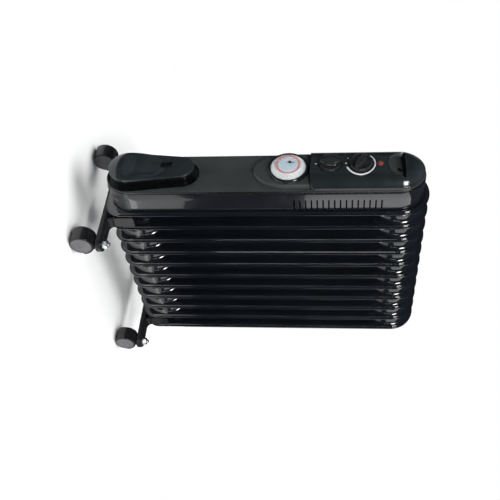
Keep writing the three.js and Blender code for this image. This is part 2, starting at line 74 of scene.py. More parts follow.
class Form:
    """Collects vertices in part millimetres and faces, and makes one piece of them."""

    def __init__(self):
        self.points = []
        self.faces = []

    def ring(self, points):
        start = len(self.points)
        self.points.extend(points)
        return list(range(start, start + len(points)))

    def bridge(self, a, b, closed=True):
        count = len(a)
        for i in range(count if closed else count - 1):
            j = (i + 1) % count
            self.faces.append((a[i], a[j], b[j], b[i]))

    def loft(self, rings, cap_start=True, cap_end=True):
        """Joins closed rings of equally many points into a skin."""
        made = [self.ring(points) for points in rings]
        for a, b in zip(made, made[1:]):
            self.bridge(a, b)
        if cap_start:
            self.faces.append(tuple(reversed(made[0])))
        if cap_end:
            self.faces.append(tuple(made[-1]))

    def grid(self, rows):
        """Joins open rows of equally many points into a sheet."""
        made = [self.ring(points) for points in rows]
        for a, b in zip(made, made[1:]):
            self.bridge(a, b, closed=False)

    def lathe(self, profile, centre, axis="y", sides=48):
        """Turns (radius, along) pairs about an axis through centre."""
        rings = []
        for radius, along in profile:
            points = []
            for i in range(sides):
                angle = math.radians(360 * i / sides)
                u, v = radius * math.cos(angle), radius * math.sin(angle)
                offset = {"y": (u, along, v), "x": (along, u, v), "z": (u, v, along)}[axis]
                points.append(tuple(c + o for c, o in zip(centre, offset)))
            rings.append(points)
        self.loft(rings, cap_start=False, cap_end=False)

    def tube(self, path, radius, sides):
        """Sweeps a circle along a list of points."""
        spine = [Vector(p) for p in path]
        angles = [2 * math.pi * k / sides for k in range(sides)]
        normal = None
        rings = []
        for i, point in enumerate(spine):
            tangent = (spine[min(i + 1, len(spine) - 1)] - spine[max(i - 1, 0)]).normalized()
            if normal is None:
                normal = tangent.orthogonal().normalized()
            normal = (normal - tangent * normal.dot(tangent)).normalized()
            across = tangent.cross(normal)
            rings.append([tuple(point + radius * (normal * math.cos(a) + across * math.sin(a)))
                          for a in angles])
        self.loft(rings)

    def block(self, low, high, bevel):
        """A box whose edges along every axis are rounded off by bevel."""
        turns = [math.pi / 2 * k / 3 for k in (3, 2, 1, 0)]
        bottom = [(low[2] + bevel * (1 - math.sin(t)), bevel * (1 - math.cos(t))) for t in turns]
        top = [(low[2] + high[2] - z, inset) for z, inset in reversed(bottom)]
        self.loft([[(x, y, z) for x, y in rounded_box(low, high, inset, bevel)]
                   for z, inset in bottom + top])

    def make(self, name, material, sharp, body="radiator"):
        """The piece: merged, faces turned outwards, shaded smooth except over sharp edges."""
        mesh = bpy.data.meshes.new(name)
        mesh.from_pydata([row(*p) for p in self.points], [], self.faces)
        work = bmesh.new()
        work.from_mesh(mesh)
        bmesh.ops.remove_doubles(work, verts=work.verts, dist=MERGE / 1000)
        bmesh.ops.dissolve_degenerate(work, edges=work.edges, dist=MERGE / 2000)
        bmesh.ops.recalc_face_normals(work, faces=work.faces)
        for face in work.faces:
            face.smooth = True
        for edge in work.edges:
            if len(edge.link_faces) == 2 and edge.calc_face_angle(0.0) > math.radians(sharp):
                edge.smooth = False
        work.to_mesh(mesh)
        work.free()
        mesh.materials.append(material)
        piece = bpy.data.objects.new(name, mesh)
        bpy.context.scene.collection.objects.link(piece)
        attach(piece, body)
        return piece


def rounded_box(low, high, inset, radius):
    """Corners of a rectangle in X and Y, inset, each rounded by radius."""
    x0, y0, x1, y1 = low[0] + inset, low[1] + inset, high[0] - inset, high[1] - inset
    round_by = max(radius - inset, 0) or 1e-3
    points = []
    for cx, cy, start in ((x1, y1, 0), (x0, y1, 90), (x0, y0, 180), (x1, y0, 270)):
        ox = -round_by if cx == x1 else round_by
        oy = -round_by if cy == y1 else round_by
        for k in range(4):
            angle = math.radians(start + 30 * k)
            points.append((cx + ox + round_by * math.cos(angle), cy + oy + round_by * math.sin(angle)))
    return points


def arc(cx, cz, rx, rz, start, end, steps):
    """Points of an elliptical arc in X and Z, degrees, both ends included."""
    angles = [math.radians(start + (end - start) * i / steps) for i in range(steps + 1)]
    return [(cx + rx * math.cos(a), cz + rz * math.sin(a)) for a in angles]


# ---------------------------------------------------------------- materials
class Shader:
    """A Principled material with its nodes to hand."""

    def __init__(self, name, color, roughness, metallic=0.0, coat=0.0):
        self.material = bpy.data.materials.new(name)
        self.material.use_nodes = True
        self.nodes = self.material.node_tree.nodes
        self.links = self.material.node_tree.links
        self.shader = self.nodes["Principled BSDF"]
        values = {
            "Base Color": (*color, 1), "Roughness": roughness, "Metallic": metallic, "IOR": 1.5,
            "Coat Weight": coat, "Coat Roughness": 0.03,
        }
        for socket, value in values.items():
            self.shader.inputs[socket].default_value = value
        self.normal = None

    def node(self, kind, **inputs):
        made = self.nodes.new(kind)
        for name, value in inputs.items():
            made.inputs[name.replace("_", " ")].default_value = value
        return made

    def noise(self, scale, detail, rough=0.5, stretch=(1, 1, 1)):
        """Noise in the object's own space."""
        place = self.nodes.new("ShaderNodeTexCoord")
        mapping = self.node("ShaderNodeMapping", Scale=stretch)
        made = self.node("ShaderNodeTexNoise", Scale=scale, Detail=detail, Roughness=rough)
        self.links.new(place.outputs["Object"], mapping.inputs["Vector"])
        self.links.new(mapping.outputs["Vector"], made.inputs["Vector"])
        return made.outputs["Fac"]

    def ramp(self, value, low, high, dark, light):
        """Maps low to dark and high to light, clamped at both."""
        made = self.nodes.new("ShaderNodeMapRange")
        for name, number in (("From Min", low), ("From Max", high), ("To Min", dark), ("To Max", light)):
            made.inputs[name].default_value = number
        self.links.new(value, made.inputs["Value"])
        return made.outputs["Result"]

    def mix(self, factor, first, second):
        made = self.nodes.new("ShaderNodeMix")
        made.data_type = "RGBA"
        made.inputs["A"].default_value = (*first, 1)
        made.inputs["B"].default_value = (*second, 1)
        self.links.new(factor, made.inputs["Factor"])
        return made.outputs["Result"]

    def vary_roughness(self, scale, low, high):
        value = self.ramp(self.noise(scale, 4.0, 0.6), 0.3, 0.7, low, high)
        self.links.new(value, self.shader.inputs["Roughness"])

    def vary_color(self, scale, first, second):
        factor = self.ramp(self.noise(scale, 3.0), 0.35, 0.65, 0.0, 1.0)
        self.links.new(self.mix(factor, first, second), self.shader.inputs["Base Color"])

    def bump(self, scale, distance, strength, detail=2.0, stretch=(1, 1, 1)):
        """Adds a layer of bumps, in metres, over the ones that are already there."""
        made = self.node("ShaderNodeBump", Strength=strength, Distance=distance)
        self.links.new(self.noise(scale, detail, 0.5, stretch), made.inputs["Height"])
        if self.normal:
            self.links.new(self.normal, made.inputs["Normal"])
        self.normal = made.outputs["Normal"]
        self.links.new(self.normal, self.shader.inputs["Normal"])


def enamel(name, color, coat=1.0, waves=0.2, rough=(0.10, 0.2)):
    """Baked gloss enamel on pressed steel: long waves, fine orange peel and a little dust in the gloss."""
    made = Shader(name, color, 0.16, coat=coat)
    made.vary_color(9, color, [c * 1.5 for c in color])
    made.vary_roughness(60, *rough)
    made.bump(16, 0.0005, waves, 1.0, (1, 1, 0.3))
    made.bump(420, 0.00003, 0.3)
    return made.material


def moulding(name, color, rough=(0.28, 0.38), grain=900):
    """Injection moulded plastic with a fine even grain."""
    made = Shader(name, color, 0.33)
    made.vary_color(25, color, [c * 1.25 for c in color])
    made.vary_roughness(45, *rough)
    made.bump(grain, 0.00003, 0.5, 3.0)
    made.bump(30, 0.0002, 0.12, 1.0)
    return made.material


def plated(name, color, rough=(0.16, 0.32)):
    """Bright zinc plate with faint cloudy patches and turning marks."""
    made = Shader(name, color, 0.22, metallic=1.0)
    made.vary_color(140, color, [color[0] * 0.8, color[1] * 0.85, color[2] * 0.9])
    made.vary_roughness(220, *rough)
    made.bump(600, 0.00004, 0.5, 2.0, (1, 1, 4))
    return made.material


def printed(name, color):
    """Flat ink or plain light plastic."""
    made = Shader(name, color, 0.42)
    made.vary_color(200, color, [c * 0.88 for c in color])
    made.vary_roughness(300, 0.35, 0.5)
    made.bump(1400, 0.00002, 0.3)
    return made.material


def lens_red():
    """Cloudy red plastic that lets a little light through."""
    made = Shader("lens_red", (0.26, 0.06, 0.055), 0.16, coat=0.6)
    made.shader.inputs["Subsurface Weight"].default_value = 0.2
    made.shader.inputs["Subsurface Radius"].default_value = (0.004, 0.001, 0.001)
    made.shader.inputs["Subsurface Scale"].default_value = 1.0
    made.vary_color(300, (0.28, 0.07, 0.06), (0.18, 0.035, 0.03))
    made.bump(500, 0.00008, 0.4)
    return made.material


FIN_BLACK = enamel("fin_enamel_black", (0.0040, 0.0052, 0.0072))
SHROUD_BLACK = enamel("shroud_enamel_black", (0.006, 0.0065, 0.0085), waves=0.45)
BRACKET_BLACK = enamel("bracket_enamel_black", (0.005, 0.005, 0.006), coat=0.12, rough=(0.22, 0.34))
BRACKET_BLACK.node_tree.nodes["Principled BSDF"].inputs["Specular IOR Level"].default_value = 0.22
FASCIA_BLACK = moulding("fascia_moulding_black", (0.034, 0.0385, 0.0395))
POD_BLACK = moulding("pod_moulding_black", (0.012, 0.0155, 0.017), (0.12, 0.19))
KNOB_BLACK = moulding("knob_moulding_black", (0.017, 0.018, 0.019), (0.12, 0.2), 1300)
# A lighter copy of the pod's plastic: painted light on the finger scoop.
SCOOP_PAINTED_LIGHT = moulding("scoop_painted_light", (0.030, 0.034, 0.033), (0.26, 0.34))
FLANGE_BLACK = moulding("flange_moulding_black", (0.014, 0.018, 0.020), (0.12, 0.2))
# A darker copy of the plastic: painted shade for the cord recess, the fascia's rolled edge, the cord hub and
# the grip's small hole.
PAINTED_SHADE_BLACK = moulding("painted_shade_black", (0.0035, 0.004, 0.0045), (0.2, 0.3))
DARK = moulding("dark_moulding", (0.006, 0.006, 0.006), (0.45, 0.6), 600)
CASTOR_BLACK = moulding("castor_moulding_black", (0.006, 0.006, 0.007), (0.2, 0.3), 500)
WHEEL_GREY = moulding("wheel_moulding_grey", (0.095, 0.095, 0.105), (0.3, 0.45), 500)
TREAD = moulding("wheel_tread", (0.02, 0.02, 0.021), (0.5, 0.65), 350)
DIAL_WHITE = printed("dial_white", (0.74, 0.78, 0.80))
DIAL_BLUE = printed("dial_pale_blue", (0.56, 0.68, 0.76))
PRINT_WHITE = printed("print_white", (0.80, 0.80, 0.80))
PRINT_RED = printed("print_red", (0.62, 0.09, 0.07))
PRINT_SALMON = printed("print_salmon", (0.78, 0.30, 0.26))
PRINT_BLACK = printed("print_black", (0.01, 0.01, 0.01))
LENS = lens_red()
ZINC = plated("zinc_plate", (0.72, 0.74, 0.77))
STEEL = plated("plain_steel", (0.38, 0.38, 0.39), (0.3, 0.5))
BRASS = plated("brass", (0.55, 0.38, 0.16))
CERAMIC = printed("ceramic_cream", (0.62, 0.58, 0.48))
GLOSS_BLACK = moulding("gloss_moulding_black", (0.008, 0.008, 0.009), (0.08, 0.16), 1500)
GALVANISED = plated("galvanised_sheet", (0.5, 0.51, 0.53), (0.35, 0.55))
SLEEVE_BLACK = moulding("sleeve_black", (0.01, 0.01, 0.01), (0.4, 0.55), 700)
SLEEVE_BROWN = moulding("sleeve_brown", (0.09, 0.045, 0.025), (0.4, 0.55), 700)

# ---------------------------------------------------------------- fins
FIN_HALF = (FIN_HIGH[0] - FIN_LOW[0]) * 500
FIN_TALL = (FIN_HIGH[2] - FIN_LOW[2]) * 1000
FIN_THICK = (FIN_HIGH[1] - FIN_LOW[1]) * 500
FIN_FOOT, FIN_CROWN = 30.0, 49.0
FIN_BODY = FIN_THICK - 1.05
FIN_ROWS, FIN_COLUMNS = 22, 36
# (inset from the outline, rise over the middle of the sheet): welded rim, step and body.
FIN_STEPS = [(0.0, 0.0), (0.1, 0.45), (0.5, 0.8), (3.4, 0.9), (3.8, 1.05), (4.2, 1.6), (4.7, 2.45),
             (5.2, FIN_BODY - 0.2), (5.9, FIN_BODY), (11.0, FIN_BODY + 0.05)]
CHANNEL = {"pitch": 14.4, "rise": 0.95, "low": 92.0, "high": 100.0, "fade": 22.0, "edge_fade": 4.0}
FIN_Y = [centre_of(f"fin_{i:02d}")[1] for i in range(1, 12)]
HEADERS = {end: centre_of(f"header_tube_{end}")[2] for end in ("lower", "upper")}
# Radii of the necks where they meet the fins and in the middle. Where a U-bolt goes round one, it is narrow.
NECK = {"flare": FIN_HALF - 5.8, "waist": FIN_HALF - 15.8}
BOLTED_NECK = {"flare": 40.0, "waist": 17.6}
NECK_SINK = 1.2
WELD = [(1.5, 1.6), (2.3, 1.2), (2.6, 0.0)]
BOLT_Y = [centre_of(f"u_bolt_{end}")[1] for end in ENDS]


def fin_sides(inset, heights):
    """The right edge of a fin from the foot's flat to the crown, as (x, z)."""
    w = FIN_HALF - inset
    foot = FIN_FOOT - inset
    crown = FIN_CROWN - inset * 0.9
    top = FIN_TALL - inset
    right = arc(w - foot, inset + foot, foot, foot, -90, 0, 12)
    right += [(w, inset + foot + (top - crown - inset - foot) * t) for t in heights]
    right += arc(0, top - crown, w, crown, 0, 90, 18)
    return right


def fin_outline(inset, heights):
    """The whole edge of a fin, inset, as (x, z)."""
    right = fin_sides(inset, heights)
    return right + [(-x, z) for x, z in reversed(right[:-1])]


def channel(x, z):
    """How far the pressed channels raise the fin's face at a point inside the rim."""
    low, high = (z - CHANNEL["low"]) / CHANNEL["fade"], (FIN_TALL - CHANNEL["high"] - z) / CHANNEL["fade"]
    ends = min(1.0, max(0.0, low)) * min(1.0, max(0.0, high))
    ends = ends * ends * (3 - 2 * ends)
    return CHANNEL["rise"] * ends * math.cos(2 * math.pi * x / CHANNEL["pitch"])


def fin_face(form, y, way):
    """One pressed half: rim, step and body with its channels. Way is 1 at the back and -1 in front."""
    heights = [t / FIN_ROWS for t in range(1, FIN_ROWS)]
    rings = [form.ring([(x, y + way * rise, z) for x, z in fin_outline(inset, heights)])
             for inset, rise in FIN_STEPS]
    for a, b in zip(rings, rings[1:]):
        form.bridge(a, b)
    inset, rise = FIN_STEPS[-1]
    rows = []
    for x_edge, z in fin_sides(inset, heights):
        points = []
        for k in range(FIN_COLUMNS + 1):
            x = x_edge * (1 - 2 * k / FIN_COLUMNS)
            fade = min(1.0, (x_edge - abs(x)) / CHANNEL["edge_fade"])
            points.append((x, y + way * (rise + fade * channel(x, z)), z))
        rows.append(points)
    form.grid(rows)


def make_fin(name, y):
    form = Form()
    for way in (-1, 1):
        fin_face(form, y, way)
    return form.make(f"pressed_{name}", FIN_BLACK, sharp=50)


def neck(form, z, y0, y1, flare, waist):
    """The round neck between two fins: it flares into each fin and has a rolled weld in the middle."""
    halfway = (y0 + y1) / 2
    reach = (y1 - y0) / 2 - FIN_THICK + NECK_SINK
    pairs = []
    for k in range(13):
        turn = math.pi / 2 * (k / 12)
        pairs.append((flare - (flare - waist - WELD[0][0]) * math.sin(turn),
                      reach * (math.cos(turn) * 0.88 + 0.12)))
    pairs += [(waist + proud, half_width) for proud, half_width in WELD]
    profile = [(r, halfway - d) for r, d in pairs] + [(r, halfway + d) for r, d in reversed(pairs[:-1])]
    form.lathe(profile, (0, 0, z), sides=64)


def make_necks(end):
    form = Form()
    for y0, y1 in zip(FIN_Y, FIN_Y[1:]):
        bolted = end == "lower" and any(y0 < y < y1 for y in BOLT_Y)
        neck(form, HEADERS[end], y0, y1, **(BOLTED_NECK if bolted else NECK))
    return form.make(f"header_necks_{end}", FIN_BLACK, sharp=60)


for index, y in enumerate(FIN_Y, 1):
    name = f"fin_{index:02d}"
    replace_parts(make_fin(name, y), name)
for end in HEADERS:
    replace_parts(make_necks(end), f"header_tube_{end}")

# ---------------------------------------------------------------- housing shroud
SHROUD = part("housing_shroud")
SHROUD_HALF = (SHROUD[1][0] - SHROUD[0][0]) / 2
SHROUD_FRONT, SHROUD_BACK = SHROUD[0][1], SHROUD[1][1]
SHROUD_TOP = SHROUD[1][2]
SHROUD_SIDE_END = SHROUD[0][2]
SHEET = 1.4
SHEET_EDGE = {"back": 0.5, "in": 0.35}
SLOTS = {"count": 16, "first": 343.7, "step": 10.04, "front": -30.0, "back": -8.0, "height": 2.7}
TOP_SLOTS = (-36, -24, -12, 0, 12, 24, 36)


def shroud_stations():
    """Round the shroud from right foot to left: (outer x and z, inner x and z, a vent slot starts here)."""
    dome = SHROUD_TOP - SHROUD_HALF
    right = []
    slots = [SLOTS["first"] + i * SLOTS["step"] for i in range(SLOTS["count"])]
    heights = [SHROUD_SIDE_END + (slots[0] - 8 - SHROUD_SIDE_END) * t / 14 for t in range(15)]
    for z in slots:
        heights += [z - SLOTS["height"] / 2, z + SLOTS["height"] / 2]
    cuts = {z - SLOTS["height"] / 2 for z in slots}
    heights += [dome - 12]
    for z in heights:
        right.append(((SHROUD_HALF, z), (SHROUD_HALF - SHEET, z), z in cuts))
    half_slot = math.degrees(SLOTS["height"] / 2 / SHROUD_HALF)
    angles = [(a, False) for a in range(0, 181, 4) if all(abs(a - 90 - t) > 3.2 for t in TOP_SLOTS)]
    angles += [(90 + t - half_slot, True) for t in TOP_SLOTS]
    angles += [(90 + t + half_slot, False) for t in TOP_SLOTS]
    top = []
    for angle, starts in sorted(angles):
        c, s = math.cos(math.radians(angle)), math.sin(math.radians(angle))
        outer = (SHROUD_HALF * c, dome + SHROUD_HALF * s)
        inner = ((SHROUD_HALF - SHEET) * c, dome + (SHROUD_HALF - SHEET) * s)
        top.append((outer, inner, starts))
    left = [((-outer[0], outer[1]), (-inner[0], inner[1])) for outer, inner, _ in reversed(right)]
    left_cuts = {round(z + SLOTS["height"] / 2, 3) for z in slots}
    left = [(outer, inner, round(outer[1], 3) in left_cuts) for outer, inner in left]
    return right + top + left


def make_shroud():
    """The bent sheet, with a real hole through it at each vent slot."""
    stations = shroud_stations()
    form = Form()
    ends = (SHROUD_FRONT, SHROUD_BACK)
    depths = [SHROUD_FRONT, SHROUD_FRONT + SHEET_EDGE["back"], SLOTS["front"], SLOTS["back"],
              SHROUD_BACK - SHEET_EDGE["back"], SHROUD_BACK]
    bands = range(len(depths) - 1)
    outer, inner = [], []
    for out, into, _ in stations:
        away = Vector((out[0] - into[0], out[1] - into[1])).normalized() * SHEET_EDGE["in"]
        eased = [(y, 1 if y in ends else 0) for y in depths]
        outer.append(form.ring([(out[0] - away[0] * k, y, out[1] - away[1] * k) for y, k in eased]))
        inner.append(form.ring([(into[0], y, into[1]) for y in depths]))
    slot_band = depths.index(SLOTS["front"])
    for i in range(len(stations) - 1):
        for k in bands:
            a, b, c, d = outer[i][k], outer[i + 1][k], outer[i + 1][k + 1], outer[i][k + 1]
            e, f, g, h = inner[i][k], inner[i + 1][k], inner[i + 1][k + 1], inner[i][k + 1]
            if stations[i][2] and k == slot_band:
                form.faces += [(a, b, f, e), (b, c, g, f), (c, d, h, g), (d, a, e, h)]
            else:
                form.faces += [(a, b, c, d), (e, h, g, f)]
        for k in (0, len(depths) - 1):
            form.faces.append((outer[i][k], outer[i + 1][k], inner[i + 1][k], inner[i][k]))
    for i in (0, len(stations) - 1):
        form.faces += [(outer[i][k], outer[i][k + 1], inner[i][k + 1], inner[i][k]) for k in bands]
    return form.make("shroud_wrap", SHROUD_BLACK, sharp=40)


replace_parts(make_shroud(), "housing_shroud")


# ---------------------------------------------------------------- flat skins with walls
class Skin:
    """A finely divided sheet over an outline in X and Z, whose loops can grow walls."""

    def __init__(self, outer, holes, depth, step=None):
        self.work = bmesh.new()
        self.depth = depth
        edges = []
        for outline in (outer, *holes):
            verts = [self.work.verts.new((x, 0, z)) for x, z in outline]
            edges += [self.work.edges.new((verts[i - 1], verts[i])) for i in range(len(verts))]
        bmesh.ops.triangle_fill(self.work, use_beauty=True, use_dissolve=False, edges=edges)
        for axis in (0, 2) if step else ():
            self.divide(axis, step)
        for vert in self.work.verts:
            vert.co.y = depth(vert.co.x, vert.co.z)
        self.loops = self.find_loops()

    def divide(self, axis, step):
        """Cuts the sheet into even strips across an axis."""
        values = [vert.co[axis] for vert in self.work.verts]
        normal = Vector((0, 0, 0))
        normal[axis] = 1
        count = max(1, round((max(values) - min(values)) / step))
        for k in range(1, count):
            place = normal * (min(values) + (max(values) - min(values)) * k / count)
            parts = self.work.verts[:] + self.work.edges[:] + self.work.faces[:]
            bmesh.ops.bisect_plane(self.work, geom=parts, dist=1e-4, plane_co=place, plane_no=normal)

    def find_loops(self):
        """The boundary loops, longest first, as (verts, outward directions)."""
        beside = {}
        away = {}
        for edge in self.work.edges:
            if len(edge.link_faces) != 1:
                continue
            a, b = edge.verts
            side = Vector((b.co.z - a.co.z, 0, a.co.x - b.co.x)).normalized()
            inward = edge.link_faces[0].calc_center_median() - (a.co + b.co) / 2
            if side.dot(inward) > 0:
                side = -side
            for vert, other in ((a, b), (b, a)):
                beside.setdefault(vert, []).append(other)
                away.setdefault(vert, []).append(side)
        loops = []
        left = set(beside)
        while left:
            first = min(left, key=lambda v: (v.co.x, v.co.z))
            loop = [first]
            left.discard(first)
            while True:
                following = [v for v in beside[loop[-1]] if v in left]
                if not following:
                    break
                loop.append(following[0])
                left.discard(following[0])
            directions = []
            for vert in loop:
                total = away[vert][0] + away[vert][1]
                unit = total.normalized()
                directions.append(unit / max(unit.dot(away[vert][0]), 0.6))
            loops.append((loop, directions))
        return sorted(loops, key=lambda item: -span(item[0]))

    def wall(self, index, steps, cap=True):
        """Grows rings from a loop: each step is a function of (point, outward direction)."""
        loop, directions = self.loops[index]
        starts = [vert.co.copy() for vert in loop]
        before = loop
        for place in steps:
            ring = [self.work.verts.new(place(p, d)) for p, d in zip(starts, directions)]
            for i in range(len(ring)):
                self.work.faces.new((before[i - 1], before[i], ring[i], ring[i - 1]))
            before = ring
        if cap:
            edges = [self.work.edges.get((before[i - 1], before[i])) for i in range(len(before))]
            bmesh.ops.triangle_fill(self.work, use_beauty=True, use_dissolve=False, edges=edges)

    def add_to(self, form):
        self.work.verts.index_update()
        start = len(form.points)
        form.points.extend(tuple(v.co) for v in self.work.verts)
        form.faces.extend(tuple(start + v.index for v in face.verts) for face in self.work.faces)
        self.work.free()


def span(verts):
    """A loop's width and height added up."""
    across = [v.co.x for v in verts]
    up = [v.co.z for v in verts]
    return max(across) - min(across) + max(up) - min(up)


def rounding(radius, steps=4):
    """Wall steps that roll a sheet's edge over by a quarter circle."""
    made = []
    for k in range(1, steps + 1):
        turn = math.pi / 2 * k / steps
        out, down = radius * math.sin(turn), radius * (1 - math.cos(turn))
        made.append(lambda p, d, out=out, down=down: p + d * out + Vector((0, down, 0)))
    return made


def to_depth(y, out):
    """A wall step back to depth y, moved outwards by out."""
    def place(p, d):
        moved = p + d * out
        moved.y = y
        return moved
    return place


def circle(x, z, radius, sides=48):
    return arc(x, z, radius, radius, 0, 360, sides)[:-1]


def stadium(half, low, high, inset):
    """Straight sides with half-round ends, as (x, z)."""
    w = half - inset
    return arc(0, high - half, w, w, 0, 180, 28) + arc(0, low + half, w, w, 180, 360, 28)


# ---------------------------------------------------------------- front fascia with its recess
FASCIA = part("front_fascia")
FASCIA_HALF = (FASCIA[1][0] - FASCIA[0][0]) / 2
FASCIA_LOW, FASCIA_HIGH = FASCIA[0][2], FASCIA[1][2]
FASCIA_Y, FASCIA_BACK = -52.0, -47.3
WRAP = {"top": 146.0, "top_radius": 24.0, "low": 52.0, "low_radius": 34.0}
RECESS = {"mouth": 6.6, "floor": 4.4, "depth": -38.0}
PLINTH = {"half": 38.0, "low": 273.0, "round": 57.0, "front": -61.0, "edge": 3.6}
POD = part("control_pod")
POD_HALF = (POD[1][0] - POD[0][0]) / 2
POD_LOW = POD[0][2]
POD_DOME = POD[1][2] - POD_HALF
POD_FRONT, POD_BACK = POD[0][1], POD[1][1]
POD_SIDE = -55.0
POD_POWER = 3.9
POD_CORNER = 8.0


def teardrop(margin):
    """Two circles joined by their outer tangents, wide below and narrow above."""
    rise = WRAP["top"] - WRAP["low"]
    lean = math.degrees(math.asin((WRAP["low_radius"] - WRAP["top_radius"]) / rise))
    wide, narrow = WRAP["low_radius"] + margin, WRAP["top_radius"] + margin
    top = arc(0, WRAP["top"], narrow, narrow, lean, 180 - lean, 30)
    return top + arc(0, WRAP["low"], wide, wide, 180 - lean, 360 + lean, 30)


def make_fascia():
    """The front panel with the cord store's recess. The recess walls and floor and the rolled outer edge
    carry painted shade, darker than the face.
    """
    form = Form()
    edge = 1.6
    lip = 1.0
    outer = stadium(FASCIA_HALF, FASCIA_LOW, FASCIA_HIGH, edge)
    face = Skin(outer, [teardrop(RECESS["mouth"] + lip)], lambda x, z: FASCIA_Y)
    face.wall(0, rounding(edge) + [to_depth(FASCIA_BACK, edge)])
    narrowing = lip + RECESS["mouth"] - RECESS["floor"]
    face.wall(1, rounding(lip) + [to_depth(-44.0, lip + 0.6), to_depth(RECESS["depth"], narrowing)])
    face.add_to(form)
    fascia = form.make("fascia_panel", FASCIA_BLACK, sharp=42)
    fascia.data.materials.append(PAINTED_SHADE_BLACK)
    # Faces behind the front take the painted shade: the recess and the rolled outer edge.
    behind = row(0, FASCIA_Y + 0.6, 0)[1]
    for polygon in fascia.data.polygons:
        polygon.material_index = int(polygon.center.y > behind)
    return fascia


def tongue(inset):
    """The outline of the raised tongue under the pod."""
    w = PLINTH["half"] - inset
    top = POD_LOW - 0.35 - inset
    low = PLINTH["low"] + PLINTH["round"]
    return [(w, top), (-w, top)] + arc(0, low, w, PLINTH["round"] - inset, 180, 360, 44)


def make_plinth():
    """The raised tongue that carries the timer."""
    form = Form()
    edge = PLINTH["edge"]
    face = Skin(tongue(edge), [], lambda x, z: PLINTH["front"])
    face.wall(0, rounding(edge, 5) + [to_depth(FASCIA_Y + 0.4, edge + 0.5)])
    face.add_to(form)
    return form.make("fascia_tongue", FASCIA_BLACK, sharp=42)


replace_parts(make_fascia(), "front_fascia")
make_plinth()

# ---------------------------------------------------------------- control pod
GRIP = {"radius": 29.4, "top": 533.0, "depth": 11.5}
LATCH = (9.5, 523.5)
KNOBS = {
    "thermostat_knob": {"z": 457.7, "radius": 19.6, "turn": -62.0, "bar": 5.2},
    "selector_knob": {"z": 405.8, "radius": 19.3, "turn": 0.0, "bar": 6.6},
}
LAMP = {"z": 491.0, "radius": 5.3}
KNOB_GAP, LAMP_GAP = 0.9, 0.7
# How far a printed mark stands over the pod's face, and how far its sides go in.
PRINT_PROUD, PRINT_SUNK = 0.12, 0.25


def pod_face(x, z):
    """Depth of the pod's bowed and domed front."""
    away = abs(x) if z < POD_DOME else math.hypot(x, z - POD_DOME)
    return POD_FRONT + (POD_SIDE - POD_FRONT) * min(away / POD_HALF, 1.0) ** POD_POWER


def pod_outline(inset):
    """A dome above and two small round corners below."""
    w = POD_HALF - inset
    low = POD_LOW + inset
    r = POD_CORNER - inset
    side = [(w, z) for z in (400, 430, 460, 490)]
    dome = arc(0, POD_DOME, w, w, 0, 180, 44)
    corners = arc(r - w, low + r, r, r, 180, 270, 8), arc(w - r, low + r, r, r, 270, 360, 8)
    return dome + [(-x, z) for x, z in reversed(side)] + corners[0] + corners[1] + side


def grip_outline():
    r = GRIP["radius"]
    return arc(0, GRIP["top"], r, r, 180, 360, 44)


def grip_depth(x, z):
    """How deep the finger grip is under the pod's front: a ramp, with a steep rounded side."""
    ramp = GRIP["depth"] * max(0.0, (z - GRIP["top"] + GRIP["radius"]) / GRIP["radius"]) ** 1.15
    side = 1.9 * (GRIP["radius"] - math.hypot(x, z - GRIP["top"]))
    soft = 1.6
    blend = max(0.0, soft - abs(ramp - side)) / soft
    return max(0.0, min(ramp, side) - blend * blend * soft / 4)


def make_pod():
    """The control pod's cover, with holes for the knobs and the lamp and a scoop for the fingers. The scoop
    is painted lighter than the cover: painted light.
    """
    form = Form()
    edge = 2.0
    holes = [circle(0, k["z"], k["radius"] + KNOB_GAP) for k in KNOBS.values()]
    holes += [circle(0, LAMP["z"], LAMP["radius"] + LAMP_GAP, 28), grip_outline()]
    face = Skin(pod_outline(edge), holes, pod_face, 2.0)
    face.wall(0, rounding(edge) + [to_depth(POD_BACK, edge)])
    for index in range(1, len(face.loops)):
        loop = face.loops[index][0]
        middle = sum(v.co.z for v in loop) / len(loop)
        if middle > LAMP["z"] + 12:
            face.wall(index, [grip_ceiling], cap=False)
        elif span(loop) < 30:
            face.wall(index, rounding(0.4, 2) + [to_depth(POD_FRONT + 2.5, 0.5)])
        else:
            face.wall(index, rounding(0.5, 3) + [to_depth(POD_FRONT + 7.0, 0.5)])
    face.add_to(form)
    pocket = Skin(grip_outline(), [], lambda x, z: pod_face(x, z) + grip_depth(x, z), 1.4)
    pocket.add_to(form)
    pod = form.make("pod_cover", POD_BLACK, sharp=30)
    pod.data.materials.append(SCOOP_PAINTED_LIGHT)
    # Faces inside the scoop's round edge take the painted light.
    inside = (GRIP["radius"] - 0.2) / 1000
    top = row(0, 0, GRIP["top"] - 0.05)[2]
    for polygon in pod.data.polygons:
        x, _, z = polygon.center
        polygon.material_index = int(z < top and math.hypot(x, z - top) < inside)
    return pod


def make_grip_trim():
    """The raised lip round the finger grip's lower right side, and a small dark disc by its end: painted
    shade standing in for a small hole.
    """
    r = GRIP["radius"]
    lip = Form()
    path = [(x, pod_face(x, z) - 0.1, z) for x, z in arc(0, GRIP["top"], r, r, 248, 352, 40)]
    lip.tube(path, 0.75, 10)
    lip.make("pod_grip_lip", POD_BLACK, sharp=60)
    # A slightly domed dark disc of painted shade where the grip has a small hole.
    hole_shade = Form()
    rings = []
    for radius, proud in ((4.0, -0.5), (4.0, 0.15), (3.6, 0.3), (1.8, 0.35), (0.05, 0.35)):
        ring = []
        for angle in range(0, 360, 12):
            x = LATCH[0] + radius * math.cos(math.radians(angle))
            z = LATCH[1] + radius * math.sin(math.radians(angle))
            ring.append((x, pod_face(x, z) + grip_depth(x, z) - proud, z))
        rings.append(ring)
    hole_shade.loft(rings)
    hole_shade.make("pod_latch_hole_shade", PAINTED_SHADE_BLACK, sharp=40)


